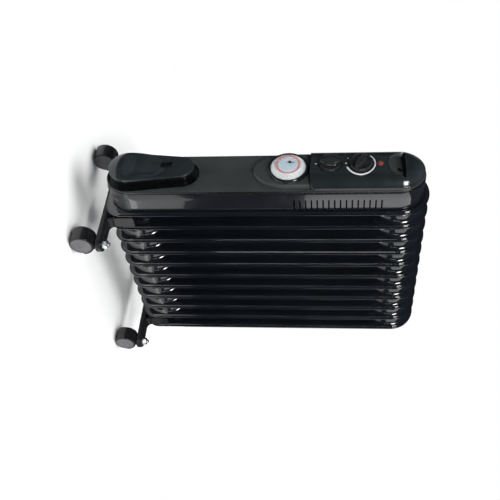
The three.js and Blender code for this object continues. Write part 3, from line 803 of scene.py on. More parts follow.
def grip_ceiling(p, direction):
    """The grip's flat upper edge goes straight back; its round side tucks just under the pocket."""
    if p.z > GRIP["top"] - 0.01:
        return p + Vector((0, grip_depth(p.x, p.z) + 0.02, 0))
    return p + Vector((0, 0.5, 0)) - direction * 0.2


def bowed_band(form, centre, radius, widths, start, end, steps):
    """A printed arc on the pod's face, with its width at both ends. Angles run clockwise from straight up."""
    rows = []
    for edge, lift in ((0, PRINT_SUNK), (0, -PRINT_PROUD), (1, -PRINT_PROUD), (1, PRINT_SUNK)):
        points = []
        for i in range(steps + 1):
            share = i / steps
            angle = math.radians(start + (end - start) * share)
            r = radius - edge * (widths[0] + (widths[1] - widths[0]) * share)
            x, z = r * math.sin(angle), centre + r * math.cos(angle)
            points.append((x, pod_face(x, z) + lift, z))
        rows.append(points)
    form.grid(rows)


def make_prints():
    """The white heat scale round the thermostat knob, and small plain marks by both knobs."""
    upper, lower = KNOBS["thermostat_knob"]["z"], KNOBS["selector_knob"]["z"]
    form = Form()
    bowed_band(form, upper, 25.7, (2.0, 3.0), -48, 161, 60)
    for degrees in (-150, 180):
        bowed_band(form, upper, 25.8, (2.2, 2.2), degrees - 3, degrees + 3, 4)
    bowed_band(form, lower, 25.4, (3.6, 3.6), 178.4, 181.6, 3)
    return form.make("pod_printed_marks", PRINT_WHITE, sharp=40)


def make_lamp():
    form = Form()
    r = LAMP["radius"]
    base = POD_FRONT + 2.4
    profile = [(r, base), (r, POD_FRONT - 0.3)]
    profile += [(r * math.cos(a), POD_FRONT - 0.3 - 1.3 * math.sin(a)) for a in (0.3, 0.6, 0.9, 1.2, 1.4)]
    profile += [(0.02, POD_FRONT - 1.62)]
    form.lathe(profile, (0, 0, LAMP["z"]), sides=40)
    return form.make("pilot_lamp_cap", LENS, sharp=60)


pod = make_pod()
make_grip_trim()
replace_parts(pod, "control_pod")
make_prints()
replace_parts(make_lamp(), "pilot_lamp_lens")


# ---------------------------------------------------------------- knobs
def lens_outline(half, reach):
    """A pointed oval along Z, as (x, z)."""
    right = [(half * math.cos(t) ** 1.25, reach * math.sin(t))
             for t in (math.pi * (k / 20 - 0.5) * 0.96 for k in range(21))]
    return right + [(-x, z) for x, z in reversed(right)]


def make_knob(name, spec):
    """A low round skirt with a raised lens-shaped grip across it."""
    form = Form()
    front = part(name)[0][1]
    base = POD_FRONT - 0.3
    r = spec["radius"]
    skirt = [(r, POD_FRONT + 5.5), (r, base - 3.2), (r - 0.35, base - 4.5), (r - 1.2, base - 5.1),
             (r - 2.2, base - 5.0), (r - 3.2, base - 4.4), (r - 7.0, base - 3.2), (0.05, base - 3.0)]
    form.lathe(skirt, (0, 0, spec["z"]), sides=72)
    turn = math.radians(spec["turn"])
    reach = r - 1.6
    seat = base - 2.2
    rings = []
    for grow, share in ((1.5, 0.0), (1.28, 0.35), (1.12, 0.7), (1.03, 0.9), (0.93, 0.98), (0.78, 1.0)):
        ring = []
        for x, z in lens_outline(spec["bar"] * grow, reach * (0.86 + 0.12 * min(grow, 1.1))):
            u = x * math.cos(turn) + z * math.sin(turn)
            v = -x * math.sin(turn) + z * math.cos(turn)
            ring.append((u, seat - (seat - front) * share, spec["z"] + v))
        rings.append(ring)
    form.loft(rings, cap_start=False)
    return form.make(f"{name}_grip", KNOB_BLACK, body=name, sharp=38)


for name, spec in KNOBS.items():
    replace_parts(make_knob(name, spec), name)

# ---------------------------------------------------------------- timer
TIMER_LOW, TIMER_HIGH = part("timer_dial")
TIMER_Z = (TIMER_LOW[2] + TIMER_HIGH[2]) / 2
TIMER_OUTER = (TIMER_HIGH[0] - TIMER_LOW[0]) / 2
TIMER_FACE = TIMER_LOW[1]
TIMER_BACK = TIMER_HIGH[1]
TIMER_LIP = -66.5
SCALE_OUTER = 22.0
CENTRE_RADIUS = 17.6
TAPPETS, HOURS = 96, 24
TAPPET_GROOVE = 0.35
SCALE_THICK = 0.3
NUMBERS = {"radius": 26.2, "size": 2.6, "thick": 0.05, "proud": 0.12}


def make_bezel():
    form = Form()
    r = TIMER_OUTER + 0.6
    profile = [(r, -61.2), (r, -65.6), (r + 0.5, -66.6), (r + 1.6, -67.1), (r + 2.9, -66.6), (r + 4.0, -65.2),
               (r + 4.7, -63.0), (r + 4.9, -60.8), (r, -61.2)]
    form.lathe(profile, (0, 0, TIMER_Z), sides=96)
    return form.make("timer_rim", GLOSS_BLACK, sharp=50)


def make_dial():
    """The cone of tappets, one for each quarter of an hour, round a flat scale."""
    form = Form()
    stations = [(CENTRE_RADIUS + 0.3, TIMER_BACK, 0), (CENTRE_RADIUS + 0.3, TIMER_FACE + 0.3, 0),
                (CENTRE_RADIUS + 0.6, TIMER_FACE, 0), (SCALE_OUTER - 0.3, TIMER_FACE, 0),
                (SCALE_OUTER, TIMER_FACE + 0.25, 0), (SCALE_OUTER + 0.2, TIMER_FACE + 0.8, 0.3),
                (SCALE_OUTER + 0.9, TIMER_FACE + 0.7, 0.7), (TIMER_OUTER - 1.2, TIMER_LIP - 0.7, 0.7),
                (TIMER_OUTER - 0.2, TIMER_LIP, 0.6), (TIMER_OUTER, TIMER_LIP + 0.8, 0.4),
                (TIMER_OUTER, TIMER_BACK, 0)]
    rings = []
    for radius, y, groove in stations:
        ring = []
        for i in range(TAPPETS):
            for share, low in ((0.0, 1), (0.14, 1), (0.24, 0), (0.9, 0)):
                angle = 2 * math.pi * (i + share) / TAPPETS
                r = radius - groove * low * TAPPET_GROOVE
                ring.append((r * math.cos(angle), y + groove * low, TIMER_Z + r * math.sin(angle)))
        rings.append(ring)
    rings.append(rings[0])
    form.loft(rings, cap_start=False, cap_end=False)
    return form.make("timer_tappet_ring", DIAL_WHITE, body="timer_dial", sharp=30)


def flat_ring(form, outer, inner, y):
    """A thin printed ring on the dial."""
    back = y + SCALE_THICK
    profile = [(inner, back), (inner, y), (outer, y), (outer, back), (inner, back)]
    form.lathe(profile, (0, 0, TIMER_Z), sides=96)


def printed_patch(form, corners, y):
    """A thin printed patch on the timer, from its corners in X and Z measured from the timer's middle."""
    form.loft([[(x, depth, TIMER_Z + z) for x, z in corners] for depth in (y + SCALE_THICK, y)])


def make_scale():
    """The salmon band at the edge of the flat face."""
    form = Form()
    flat_ring(form, SCALE_OUTER - 1.7, CENTRE_RADIUS + 0.7, TIMER_FACE - 0.08)
    return form.make("timer_scale_band", PRINT_SALMON, body="timer_dial", sharp=30)


def make_scale_lines():
    """Red edge lines of the band and a tick for every quarter of an hour, longer on the hour."""
    form = Form()
    y = TIMER_FACE - 0.14
    flat_ring(form, SCALE_OUTER - 0.05, SCALE_OUTER - 0.6, y)
    flat_ring(form, CENTRE_RADIUS + 1.3, CENTRE_RADIUS + 0.8, y)
    outer = SCALE_OUTER - 0.5
    for i in range(TAPPETS):
        inner = outer - (1.2 if i % (TAPPETS // HOURS) else 2.6)
        low, high = (math.radians(360 * i / TAPPETS + side) for side in (-0.4, 0.4))
        printed_patch(form, [(r * math.cos(a), r * math.sin(a)) for r, a in
                             ((inner, low), (outer, low), (outer, high), (inner, high))], y)
    return form.make("timer_scale_lines", PRINT_RED, body="timer_dial", sharp=30)


def make_hour_numbers():
    """Hour numbers on the slope of the tappets."""
    form = Form()
    slope = (TIMER_LIP - TIMER_FACE - 0.7) / (TIMER_OUTER - SCALE_OUTER - 2.0)
    radius = NUMBERS["radius"]
    y = TIMER_FACE + 0.75 + (radius - SCALE_OUTER - 0.9) * slope - NUMBERS["proud"]
    for hour in range(HOURS):
        words = bpy.data.curves.new("number", "FONT")
        words.body = str(hour or HOURS)
        words.size = NUMBERS["size"]
        words.align_x = words.align_y = "CENTER"
        words.extrude = NUMBERS["thick"]
        words.resolution_u = 2
        carrier = bpy.data.objects.new("number", words)
        flat = carrier.to_mesh()
        turn = math.radians(-360 * hour / HOURS)
        start = len(form.points)
        for vert in flat.vertices:
            u, v, lift = vert.co
            x = -radius * math.sin(turn) + u * math.cos(turn) - v * math.sin(turn)
            z = radius * math.cos(turn) + u * math.sin(turn) + v * math.cos(turn)
            form.points.append((x, y - lift + v * slope, TIMER_Z + z))
        form.faces.extend(tuple(start + i for i in face.vertices) for face in flat.polygons)
        carrier.to_mesh_clear()
        bpy.data.objects.remove(carrier)
        bpy.data.curves.remove(words)
    return form.make("timer_hour_numbers", PRINT_BLACK, body="timer_dial", sharp=30)


def make_centre():
    """The still disc in the middle, with the override switch's pocket."""
    form = Form()
    low, high = part("timer_override_switch")
    y = TIMER_FACE - 0.5
    pocket = rounded_box((low[0] - 0.6, TIMER_Z + 0.2), (high[0] + 0.6, TIMER_Z + 9.8), 0.0, 0.7)
    face = Skin(circle(0, TIMER_Z, CENTRE_RADIUS - 0.7, 72), [pocket], lambda x, z: y)
    face.wall(0, rounding(0.6, 3) + [to_depth(TIMER_BACK + 0.3, 0.6)])
    face.wall(1, rounding(0.2, 2) + [to_depth(y + 3.6, 0.3)])
    face.add_to(form)
    return form.make("timer_centre_disc", DIAL_BLUE, sharp=40)


def make_centre_marks():
    """A small plain bar at each end of the override switch's travel."""
    form = Form()
    for z in (-2.0, 11.6):
        printed_patch(form, [(-6.2, z), (-4.2, z), (-4.2, z + 0.8), (-6.2, z + 0.8)], TIMER_FACE - 0.6)
    return form.make("timer_centre_marks", PRINT_BLACK, sharp=30)


def make_override():
    """The slider: a plate with three finger ribs."""
    form = Form()
    low, high = part("timer_override_switch")
    bevel, margin = 0.3, 0.35
    form.block((low[0], TIMER_FACE + 0.4, low[2]), (high[0], TIMER_FACE + 2.6, high[2]), bevel)
    for k in range(3):
        z = low[2] + 0.5 + k * 1.45
        form.block((low[0] + margin, low[1], z), (high[0] - margin, TIMER_FACE + 0.9, z + 1.25), bevel)
    return form.make("timer_override_slider", KNOB_BLACK, body="timer_override",
                     sharp=40)


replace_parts(make_bezel(), "timer_bezel")
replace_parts(make_dial(), "timer_dial")
make_scale()
make_scale_lines()
make_hour_numbers()
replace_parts(make_centre(), "timer_centre")
make_centre_marks()
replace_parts(make_override(), "timer_override_switch")

# ---------------------------------------------------------------- cord wrap
WRAP_FACE, WRAP_REAR = -72.5, -67.0
BELLY = {"z": 50.0, "across": 34.5, "below": 35.0, "above": 68.0, "rise": 8.5}
DISH = {"depth": 5.4, "low": 42.0, "high": 128.0}
NOTCH = [(-12.5, 109.0), (2.0, 131.0)]


def ease(t):
    """A smooth rise from 0 to 1."""
    t = min(1.0, max(0.0, t))
    return t * t * (3 - 2 * t)


def wrap_inset(x, z):
    """How far a point of the flange lies inside its outline."""
    if z >= WRAP["top"]:
        return WRAP["top_radius"] - math.hypot(x, z - WRAP["top"])
    if z <= WRAP["low"]:
        return WRAP["low_radius"] - math.hypot(x, z - WRAP["low"])
    share = (WRAP["top"] - z) / (WRAP["top"] - WRAP["low"])
    return WRAP["top_radius"] + (WRAP["low_radius"] - WRAP["top_radius"]) * share - abs(x)


def wrap_face(x, z):
    """The flange's front: it swells like the back of a spoon, with a dish above the swelling."""
    up = (z - BELLY["z"]) / (BELLY["above"] if z > BELLY["z"] else BELLY["below"])
    away = (x / BELLY["across"]) ** 2 + up * up
    belly = BELLY["rise"] * max(0.0, 1 - away) ** 0.7
    dish = DISH["depth"] * ease((z - DISH["low"]) / 24) * (1 - ease((z - DISH["high"] + 40) / 50))
    return WRAP_FACE + 0.8 - belly + dish * ease((wrap_inset(x, z) - 3) / 15)


def make_cord_wrap():
    """The flange that holds the cord in, with its square notch."""
    form = Form()
    edge = 1.5
    notch = rounded_box(*NOTCH, 0.0, 0.9)
    face = Skin(teardrop(-edge), [notch], wrap_face, 1.5)
    face.wall(0, rounding(edge) + [to_depth(WRAP_REAR - 0.8, edge), to_depth(WRAP_REAR, edge - 0.8)])
    face.wall(1, rounding(0.4, 2) + [to_depth(WRAP_REAR + 0.1, 0.4)], cap=False)
    face.add_to(form)
    return form.make("cord_wrap_flange", FLANGE_BLACK, sharp=38)


def make_cord_hub():
    """The post that the cord is wound on, waisted between the flange and the recess. It takes painted shade,
    darker than the flange.
    """
    form = Form()
    floor = RECESS["depth"]
    stations = [(-14.5, WRAP_REAR - 1.0), (-12.5, WRAP_REAR), (-13.6, WRAP_REAR + 2.0), (-14, -54.0),
                (-13.6, floor - 2.0), (-12.4, floor - 0.3)]
    form.loft([[(x, y, z) for x, z in teardrop(margin)] for margin, y in stations])
    return form.make("cord_wrap_hub", PAINTED_SHADE_BLACK, sharp=50)


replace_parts(make_cord_wrap(), "cord_wrap")
make_cord_hub()


# ---------------------------------------------------------------- bottom cover and gland
def make_bottom_cover():
    """A trough swept round the housing's foot, with a shallow groove along it."""
    low, high = part("housing_bottom_cover")
    half = (high[0] - low[0]) / 2
    centre = low[2] + half
    lean = math.degrees(math.asin((high[2] - centre) / half)) if high[2] > centre else 0.0
    wall, groove = 2.4, 0.35
    section = [(half - 0.9, low[1]), (half, low[1] + 0.9), (half, -30), (half - groove, -29.3),
               (half - groove, -28.6), (half, -28), (half, high[1] - 0.6), (half - 0.6, high[1]),
               (half - wall, high[1]), (half - wall, low[1])]
    form = Form()
    rings = []
    for i in range(61):
        angle = math.radians(180 - lean + (180 + 2 * lean) * i / 60)
        rings.append([(r * math.cos(angle), y, centre + r * math.sin(angle)) for r, y in section])
    form.loft(rings)
    return form.make("bottom_trough", FASCIA_BLACK, sharp=40)


def make_gland():
    """The bush that the cord would leave by, with a bore and a threaded shank."""
    low, high = part("cable_gland")
    r = (high[0] - low[0]) / 2
    base, bore, shank = low[2], 3.7, 6
    profile = [(bore, base + 0.8), (bore + 0.8, base), (r - 1.6, base), (r - 0.8, base + 0.6),
               (r, base + 1.6), (r, base + 2.4), (r - 0.5, base + 3.0), (shank, base + 3.0)]
    profile += [(shank - 0.5 * (k % 2), base + 3.4 + k * 1.4) for k in range(8)]
    profile += [(shank, high[2]), (bore, high[2]), (bore, base + 0.8)]
    form = Form()
    form.lathe(profile, (0, centre_of("cable_gland")[1], 0), axis="z")
    return form.make("cable_gland_bush", DARK, sharp=35)


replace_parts(make_bottom_cover(), "housing_bottom_cover")
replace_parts(make_gland(), "cable_gland")

# ---------------------------------------------------------------- feet
SHEET_FOOT = 2.2
ARM_HEIGHT = 11.0
ARM_ROUND = 2.6
UPRIGHT = {"x": 50.0, "thick": 2.4, "half": 11.5, "top": 52.0, "bend": 10.6}


def foot_outline(middle_y, half_length, half_width, inset):
    """A bar with half-round ends seen from above, as (x, y)."""
    w = half_width - inset
    reach = half_length - half_width
    return arc(reach, middle_y, w, w, -90, 90, 16) + arc(-reach, middle_y, w, w, 90, 270, 16)


def make_bracket(end):
    """The folded arm under two fins, with an upright and a castor's seat at each side."""
    low, high = part(f"foot_bracket_{end}")
    half_length, half_width = (high[0] - low[0]) / 2, (high[1] - low[1]) / 2
    middle = (low[1] + high[1]) / 2
    bottom, top = low[2], low[2] + ARM_HEIGHT
    steps = [(SHEET_FOOT, top - SHEET_FOOT), (SHEET_FOOT, bottom + 0.3), (SHEET_FOOT - 0.4, bottom),
             (0.5, bottom), (0.0, bottom + 0.5), (0.0, top - ARM_ROUND)]
    steps += [(ARM_ROUND * (1 - math.cos(a)), top - ARM_ROUND * (1 - math.sin(a)))
              for a in (0.35, 0.7, 1.05, 1.35, 1.571)]
    form = Form()
    form.loft([[(x, y, z) for x, y in foot_outline(middle, half_length, half_width, inset)]
               for inset, z in steps])
    stem_x = centre_of(f"castor_stem_{end}_right")[0]
    for side in (-1, 1):
        add_upright(form, side, middle, top)
        washer_dimple(form, side * stem_x, middle, top)
    return form.make(f"foot_arm_{end}", BRACKET_BLACK, sharp=40)


def add_upright(form, side, middle, top):
    """The sheet wall that stands between two fins and runs out into the arm in a curve."""
    x0, thick, bend = UPRIGHT["x"], UPRIGHT["thick"], UPRIGHT["bend"]
    turns = [math.pi / 2 * k / 8 for k in range(1, 9)]
    outer = [(x0 + 13.0, top - 0.4)]
    outer += [(x0 + thick + bend * (1 - math.sin(t)), top + 11.5 * (1 - math.cos(t)) * 1.05 - 0.2)
              for t in turns]
    outer += [(x0 + thick, UPRIGHT["top"] - 1)]
    inner = [(x0, UPRIGHT["top"] - 1), (x0, top + 12)]
    inner += [(x0 + bend * (1 - math.sin(t)) - 0.2, top + 11.5 * (1 - math.cos(t)) - 2.6)
              for t in reversed(turns)]
    # (narrower than the sheet by, its top lower by), from the middle outwards: the top corners are rounded.
    corners = [(3.5, 0.0), (1.2, -0.9), (0.3, -2.2), (0.0, -4.5)]
    stations = [(-1, *corner) for corner in reversed(corners)] + [(1, *corner) for corner in corners]
    rings = []
    for way, narrow, drop in stations:
        y = middle + way * (UPRIGHT["half"] - narrow)
        rings.append([(side * x, y, z + drop + 1 if z > UPRIGHT["top"] - 2 else z) for x, z in outer + inner])
    form.loft(rings)


def washer_dimple(form, x, y, top):
    """A low pressed boss round the castor's stem."""
    profile = [(10.6, top - 0.2), (10.2, top + 0.15), (9.2, top + 0.28), (4.4, top + 0.28), (4.4, top - 0.2)]
    form.lathe(profile, (x, y, 0), axis="z", sides=40)


def make_u_bolt(end):
    """A rod bent over the lower neck, with threaded legs."""
    low, high = part(f"u_bolt_{end}")
    y = (low[1] + high[1]) / 2
    rod = (high[1] - low[1]) / 2
    spread = (high[0] - low[0]) / 2 - rod
    centre = high[2] - rod - spread
    leg = [low[2] + (centre - low[2]) * k / 12 for k in range(12)]
    form = Form()
    path = [(-spread, y, z) for z in leg]
    path += [(x, y, z) for x, z in arc(0, centre, spread, spread, 180, 0, 32)]
    path += [(spread, y, z) for z in reversed(leg)]
    form.tube(path, rod, 16)
    threads = [(rod + 0.02 + 0.22 * (k % 2), low[2] + 0.4 + 0.5 * k) for k in range(36)]
    for side in (-1, 1):
        form.lathe(threads, (side * spread, y, 0), axis="z", sides=20)
    return form.make(f"u_bolt_rod_{end}", ZINC, sharp=50)


def make_wing_nut(corner):
    """A conical barrel with two rounded wings that thin towards their faces."""
    low, high = part(f"wing_nut_{corner}")
    x, y, _ = centre_of(f"wing_nut_{corner}")
    base, top, bore = low[2], high[2], 2.7
    barrel = [(bore, top), (5.0, top), (4.7, base + 3.2), (4.2, base + 2.5), (bore, base + 2.5), (bore, top)]
    wing = [(3.2, top - 2.2), (6.5, top - 2.6)]
    wing += [(6.4 + 2.6 * math.cos(a), base + 2.6 + 2.5 * math.sin(a))
             for a in (0.9, 0.4, 0, -0.5, -1.0, -1.57)]
    wing += [(4.6, base + 1.4), (3.2, base + 2.8)]
    cx, cz = 6.0, base + 2.8
    form = Form()
    form.lathe(barrel, (x, y, 0), axis="z", sides=32)
    for side in (-1, 1):
        form.loft([[(x + side * (cx + (u - cx) * shrink), y + offset, cz + (v - cz) * shrink)
                    for u, v in wing]
                   for offset, shrink in ((-1.1, 0.86), (-0.8, 1.0), (0.8, 1.0), (1.1, 0.86))])
    return form.make(f"wing_nut_body_{corner}", ZINC, sharp=40)


# ---------------------------------------------------------------- castors
AXLE = {"radius": 3.0, "reach": 14.5}
WHEEL_GAP = 4.5
HOOD_SWEEP = 225


def wheel_facts(corner):
    """The axle's middle, the wheels' radius and the hood's half width of a castor."""
    low, high = part(f"castor_wheel_inner_{corner}")
    hood_low, hood_high = part(f"castor_hood_{corner}")
    _, y, z = centre_of(f"castor_wheel_inner_{corner}")
    centre = Vector((centre_of(f"castor_hood_{corner}")[0], y, z))
    return centre, (high[2] - low[2]) / 2, (hood_high[0] - hood_low[0]) / 2


def make_hood(corner):
    """The cover over both wheels, the web between them and the neck up to the bracket."""
    centre, radius, half = wheel_facts(corner)
    form = Form()
    out, into = radius + 2.2, radius + 0.8
    edge = [(half - 2.4, out), (half - 1.1, out - 0.1), (half - 0.35, out - 0.5), (half, out - 1.2),
            (half, into)]
    section = [(-x, r) for x, r in reversed(edge)] + edge
    rings = []
    for i in range(46):
        angle = math.radians(HOOD_SWEEP * i / 45)
        trim = 0.0 if 0 < i < 45 else 0.25
        rings.append([(centre.x + x * (1 - trim * 0.05), centre.y + (r - trim) * math.cos(angle),
                       centre.z + (r - trim) * math.sin(angle)) for x, r in section])
    form.loft(rings)
    web = 4.2
    profile = [(0.05, -web), (radius - 2.6, -web), (radius - 1.5, -web + 0.8), (radius - 1.5, web - 0.8),
               (radius - 2.6, web), (0.05, web)]
    form.lathe(profile, tuple(centre), axis="x", sides=56)
    shell = [(-web, radius - 3), (-web, out - 0.2), (web, out - 0.2), (web, radius - 3)]
    form.loft([[(centre.x + x, centre.y + r * math.cos(a), centre.z + r * math.sin(a)) for x, r in shell]
               for a in (math.radians(HOOD_SWEEP * i / 30) for i in range(31))])
    arm = part(f"foot_bracket_{corner.split('_')[0]}")[0][2]
    under = arm + ARM_HEIGHT - SHEET_FOOT - 0.3
    column = [(9.4, centre.z + 16.5), (8.2, centre.z + 19.5), (7.6, centre.z + 22.5), (7.5, under - 0.6),
              (6.9, under), (4.4, under), (4.4, centre.z + 16.5)]
    form.lathe(column, (centre.x, centre_of(f"castor_stem_{corner}")[1], 0), axis="z", sides=40)
    return form.make(f"castor_cover_{corner}", CASTOR_BLACK, body=f"castor_{corner}",
                     sharp=40)


def make_wheel(corner, which):
    """A wheel's dished disc and its grooved tyre. The outer wheel carries the axle."""
    centre, radius, half = wheel_facts(corner)
    outward = 1 if centre.x > 0 else -1
    way = outward if which == "outer" else -outward
    face = half - WHEEL_GAP
    place = (centre.x + way * WHEEL_GAP, centre.y, centre.z)
    body = f"wheel_{which}_{corner}"
    disc = [(0.05, face - 0.9), (3.4, face - 0.9), (4.2, face - 0.2), (5.4, face - 0.1), (6.2, face - 0.7),
            (7.4, face - 1.1), (radius - 4.2, face - 1.25), (radius - 3.4, face - 0.5),
            (radius - 2.2, face - 0.05), (radius - 1.5, face - 0.1), (radius - 1.3, face - 0.6),
            (radius - 1.3, 0.3), (radius - 2.0, 0.0), (0.05, 0.0)]
    form = Form()
    form.lathe([(r, way * along) for r, along in disc], place, axis="x", sides=64)
    if which == "outer":
        thick, reach = AXLE["radius"], AXLE["reach"]
        axle = [(0.05, -reach), (thick - 0.4, -reach), (thick, 0.5 - reach), (thick, 0.0)]
        form.lathe([(r, way * along) for r, along in axle], place, axis="x", sides=24)
    wheel = form.make(f"wheel_disc_{which}_{corner}", WHEEL_GREY, body=body, sharp=38)
    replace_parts(wheel, f"castor_wheel_{which}_{corner}")
    band = [(radius - 1.4, 0.2), (radius - 0.5, 0.2), (radius, 0.9), (radius, 4.2), (radius - 0.35, 4.5),
            (radius - 0.35, 5.1), (radius, 5.4), (radius, face - 1.3), (radius - 0.5, face - 0.5),
            (radius - 1.2, face - 0.35), (radius - 1.4, face - 0.8), (radius - 1.4, 0.2)]
    tread = Form()
    tread.lathe([(r, way * along) for r, along in band], place, axis="x", sides=72)
    tread.make(f"wheel_tyre_{which}_{corner}", TREAD, body=body, sharp=38)


def make_stem(corner):
    """The castor's bolt: a rod with a threaded end, a washer and a hexagon nut with chamfered corners."""
    low, high = part(f"castor_stem_{corner}")
    x, y, _ = centre_of(f"castor_stem_{corner}")
    foot, top = low[2], high[2]
    base = top - 12.0
    rod = [(0.05, foot), (3.4, foot), (4.0, foot + 0.6), (4.0, base + 8)]
    rod += [(4.0 - 0.3 * (k % 2), base + 8 + 0.4 * k) for k in range(8)]
    rod += [(3.6, top - 0.5), (2.8, top), (0.05, top)]
    washer = [(4.1, base), (7.9, base), (8.2, base + 0.3), (8.2, base + 1.3), (7.9, base + 1.6),
              (4.1, base + 1.6), (4.1, base)]
    form = Form()
    form.lathe(rod, (x, y, 0), axis="z", sides=28)
    form.lathe(washer, (x, y, 0), axis="z", sides=40)
    flat, sixth = 6.5, math.pi / 3
    # (share of the corner's radius that is left, height over the washer's seat)
    chamfers = [(0.80, 1.55), (0.94, 1.6), (1.0, 2.3), (1.0, 7.0), (0.94, 7.8), (0.82, 8.1), (0.6, 8.1)]
    rings = []
    for share, height in chamfers:
        ring = []
        for k in range(48):
            angle = 2 * math.pi * k / 48
            hexagon = flat / math.cos((angle + sixth / 2) % sixth - sixth / 2)
            r = min(hexagon, flat / math.cos(sixth / 2) * share)
            ring.append((x + r * math.cos(angle), y + r * math.sin(angle), base + height))
        rings.append(ring)
    form.loft(rings)
    return form.make(f"castor_bolt_{corner}", ZINC, sharp=32)


for end in ENDS:
    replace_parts(make_bracket(end), f"foot_bracket_{end}")
    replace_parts(make_u_bolt(end), f"u_bolt_{end}")
    for side in SIDES:
        corner = f"{end}_{side}"
        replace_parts(make_wing_nut(corner), f"wing_nut_{corner}")
        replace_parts(make_hood(corner), f"castor_hood_{corner}")
        for which in ("outer", "inner"):
            make_wheel(corner, which)
        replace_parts(make_stem(corner), f"castor_stem_{corner}")

# ---------------------------------------------------------------- inner parts keep their CAD shape
INNER = {
    "heating_element": STEEL, "oil_filler_plug": BRASS, "heat_shield": GALVANISED, "thermostat_body": CERAMIC,
    "selector_switch_body": DARK, "timer_movement": DARK, "terminal_block": CERAMIC, "thermal_cut_out": STEEL,
    "lead_inlet_to_terminals": SLEEVE_BLACK, "lead_terminals_to_controls": SLEEVE_BROWN,
}
for node, finish in INNER.items():
    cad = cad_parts[node]
    cad.data.materials.clear()
    cad.data.materials.append(finish)

# ---------------------------------------------------------------- stage, lights, camera
NEAR_FLOOR, FLOOR_RADIUS, FLOOR_SIDES = 0.34, 0.8, 96
BACKDROP_RADIUS = 9


def backdrop_material(strength):
    """Even white light."""
    made = bpy.data.materials.new("backdrop_white")
    made.use_nodes = True
    nodes = made.node_tree.nodes
    nodes.clear()
    light = nodes.new("ShaderNodeEmission")
    light.inputs["Strength"].default_value = strength
    out = nodes.new("ShaderNodeOutputMaterial")
    made.node_tree.links.new(light.outputs["Emission"], out.inputs["Surface"])
    return made


def floor_material():
    """Matt white paper that brightens a little towards its far edge."""
    white = Shader("floor_white", (0.86, 0.86, 0.86), 0.6)
    place = white.nodes.new("ShaderNodeTexCoord")
    length = white.nodes.new("ShaderNodeVectorMath")
    length.operation = "LENGTH"
    white.links.new(place.outputs["Object"], length.inputs[0])
    glow = white.ramp(length.outputs["Value"], 0.3, FLOOR_RADIUS, 0.0, 0.4)
    white.links.new(glow, white.shader.inputs["Emission Strength"])
    white.shader.inputs["Emission Color"].default_value = (1, 1, 1, 1)
    return white.material


def stage_piece(name, build, material, camera_only=False):
    """Something that is no part of the object: build fills its mesh, in metres."""
    mesh = bpy.data.meshes.new(name)
    work = bmesh.new()
    build(work)
    work.to_mesh(mesh)
    work.free()
    mesh.materials.append(material)
    piece = bpy.data.objects.new(name, mesh)
    bpy.context.scene.collection.objects.link(piece)
    if camera_only:
        for kind in ("visible_diffuse", "visible_glossy", "visible_transmission", "visible_shadow"):
            setattr(piece, kind, False)
    return piece


def floor_disc(work):
    bmesh.ops.create_circle(work, cap_ends=True, segments=FLOOR_SIDES, radius=NEAR_FLOOR)


def floor_ring(work):
    near, far = [[work.verts.new((x, y, 0)) for x, y in circle(0, 0, radius, FLOOR_SIDES)]
                 for radius in (NEAR_FLOOR, FLOOR_RADIUS)]
    for i in range(FLOOR_SIDES):
        work.faces.new((near[i - 1], far[i - 1], far[i], near[i]))


def backdrop_dome(work):
    bmesh.ops.create_icosphere(work, subdivisions=4, radius=BACKDROP_RADIUS)
    bmesh.ops.reverse_faces(work, faces=work.faces)


def make_stage():
    """White paper under the object, and a white backdrop that only the camera sees.

    The paper is a disc and a ring, because glossy surfaces should mirror only its near part.
    """
    paper = floor_material()
    for name, build in (("floor", floor_disc), ("floor_far", floor_ring)):
        stage_piece(name, build, paper).location = (0, 0, -0.0002)
    bpy.data.objects["floor_far"].visible_glossy = False
    stage_piece("backdrop", backdrop_dome, backdrop_material(1.0), camera_only=True)


def softbox(name, where, target, size, glow, color=(1, 1, 1), glossy=True):
    """A rectangular light whose surface is glow times as bright as white paper."""
    data = bpy.data.lights.new(name, "AREA")
    data.shape = "RECTANGLE"
    data.size, data.size_y = size
    data.energy = glow * math.pi * size[0] * size[1]
    data.color = color
    lamp = bpy.data.objects.new(name, data)
    lamp.location = where
    lamp.rotation_euler = (Vector(target) - Vector(where)).to_track_quat("-Z", "Y").to_euler()
    lamp.visible_camera = False
    lamp.visible_glossy = glossy
    bpy.context.scene.collection.objects.link(lamp)


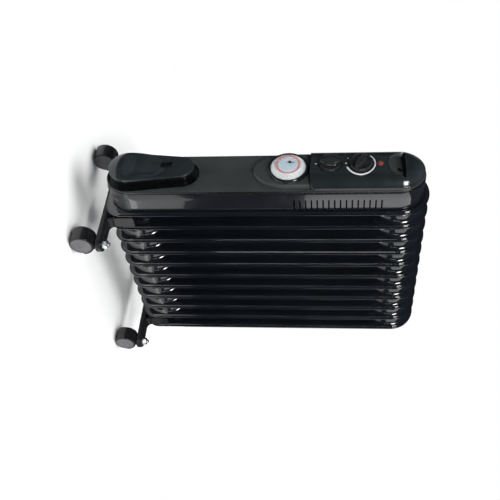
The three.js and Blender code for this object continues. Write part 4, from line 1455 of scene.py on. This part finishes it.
def make_lights():
    """One hard key for the long highlights, soft panels for the gloss, and light from above for the paper."""
    world = bpy.data.worlds.new("studio")
    bpy.context.scene.world = world
    world.use_nodes = True
    sky = world.node_tree.nodes["Background"].inputs
    sky["Color"].default_value = (0.72, 0.86, 1.0, 1)
    sky["Strength"].default_value = 0.035
    softbox("overhead", (0.0, 0.0, 2.2), (0, 0, 0), (2.2, 2.2), 5.0, glossy=False)
    softbox("key", (1.2, -1.12, 1.2), (0, 0, 0.45), (0.44, 0.44), 36)
    softbox("edge_strip", (1.62, -0.5, 0.36), (0, 0, 0.3), (0.035, 0.8), 12)
    softbox("floor_bounce", (0.52, 0.12, 0.001), (0.52, 0.12, 1), (0.7, 0.8), 0.8)
    softbox("rear_panel", (1.25, 0.95, 0.98), (0.04, -0.15, 0.5), (1.7, 1.35), 1.3)
    softbox("left_panel", (-1.5, 0.35, 0.7), (0, 0, 0.35), (0.5, 1.1), 0.4)
    softbox("front_panel", (-1.15, -1.6, 0.35), (0, -0.2, 0.35), (1.5, 1.0), 0.16, (0.8, 0.95, 1.0))


# The place is in part millimetres.
CAMERA_AZIMUTH = math.radians(38.13)
CAMERA_ELEVATION = math.radians(5.88)
CAMERA_PLACE = (862.85, -936.0, 414.53)
CAMERA_LENS = 50.91
CAMERA_SENSOR = 36
CAMERA_SHIFT = (-0.0245, -0.0017)


def make_camera():
    """The photograph lies on its side: the heater's up is the picture's right."""
    data = bpy.data.cameras.new("camera")
    data.lens = CAMERA_LENS
    data.sensor_width = CAMERA_SENSOR
    data.shift_x, data.shift_y = CAMERA_SHIFT
    data.clip_start, data.clip_end = 0.05, 50
    az, el = CAMERA_AZIMUTH, CAMERA_ELEVATION
    forward = Vector((-math.sin(az) * math.cos(el), math.cos(az) * math.cos(el), -math.sin(el)))
    right = Vector((math.cos(az), math.sin(az), 0))
    up = right.cross(forward)
    turn = Matrix((up, -right, -forward)).transposed().to_4x4()
    camera = bpy.data.objects.new("camera", data)
    camera.matrix_world = Matrix.Translation(row(*CAMERA_PLACE)) @ turn
    bpy.context.scene.collection.objects.link(camera)
    bpy.context.scene.camera = camera
    bpy.context.scene.view_settings.view_transform = "Standard"


make_stage()
make_lights()
make_camera()
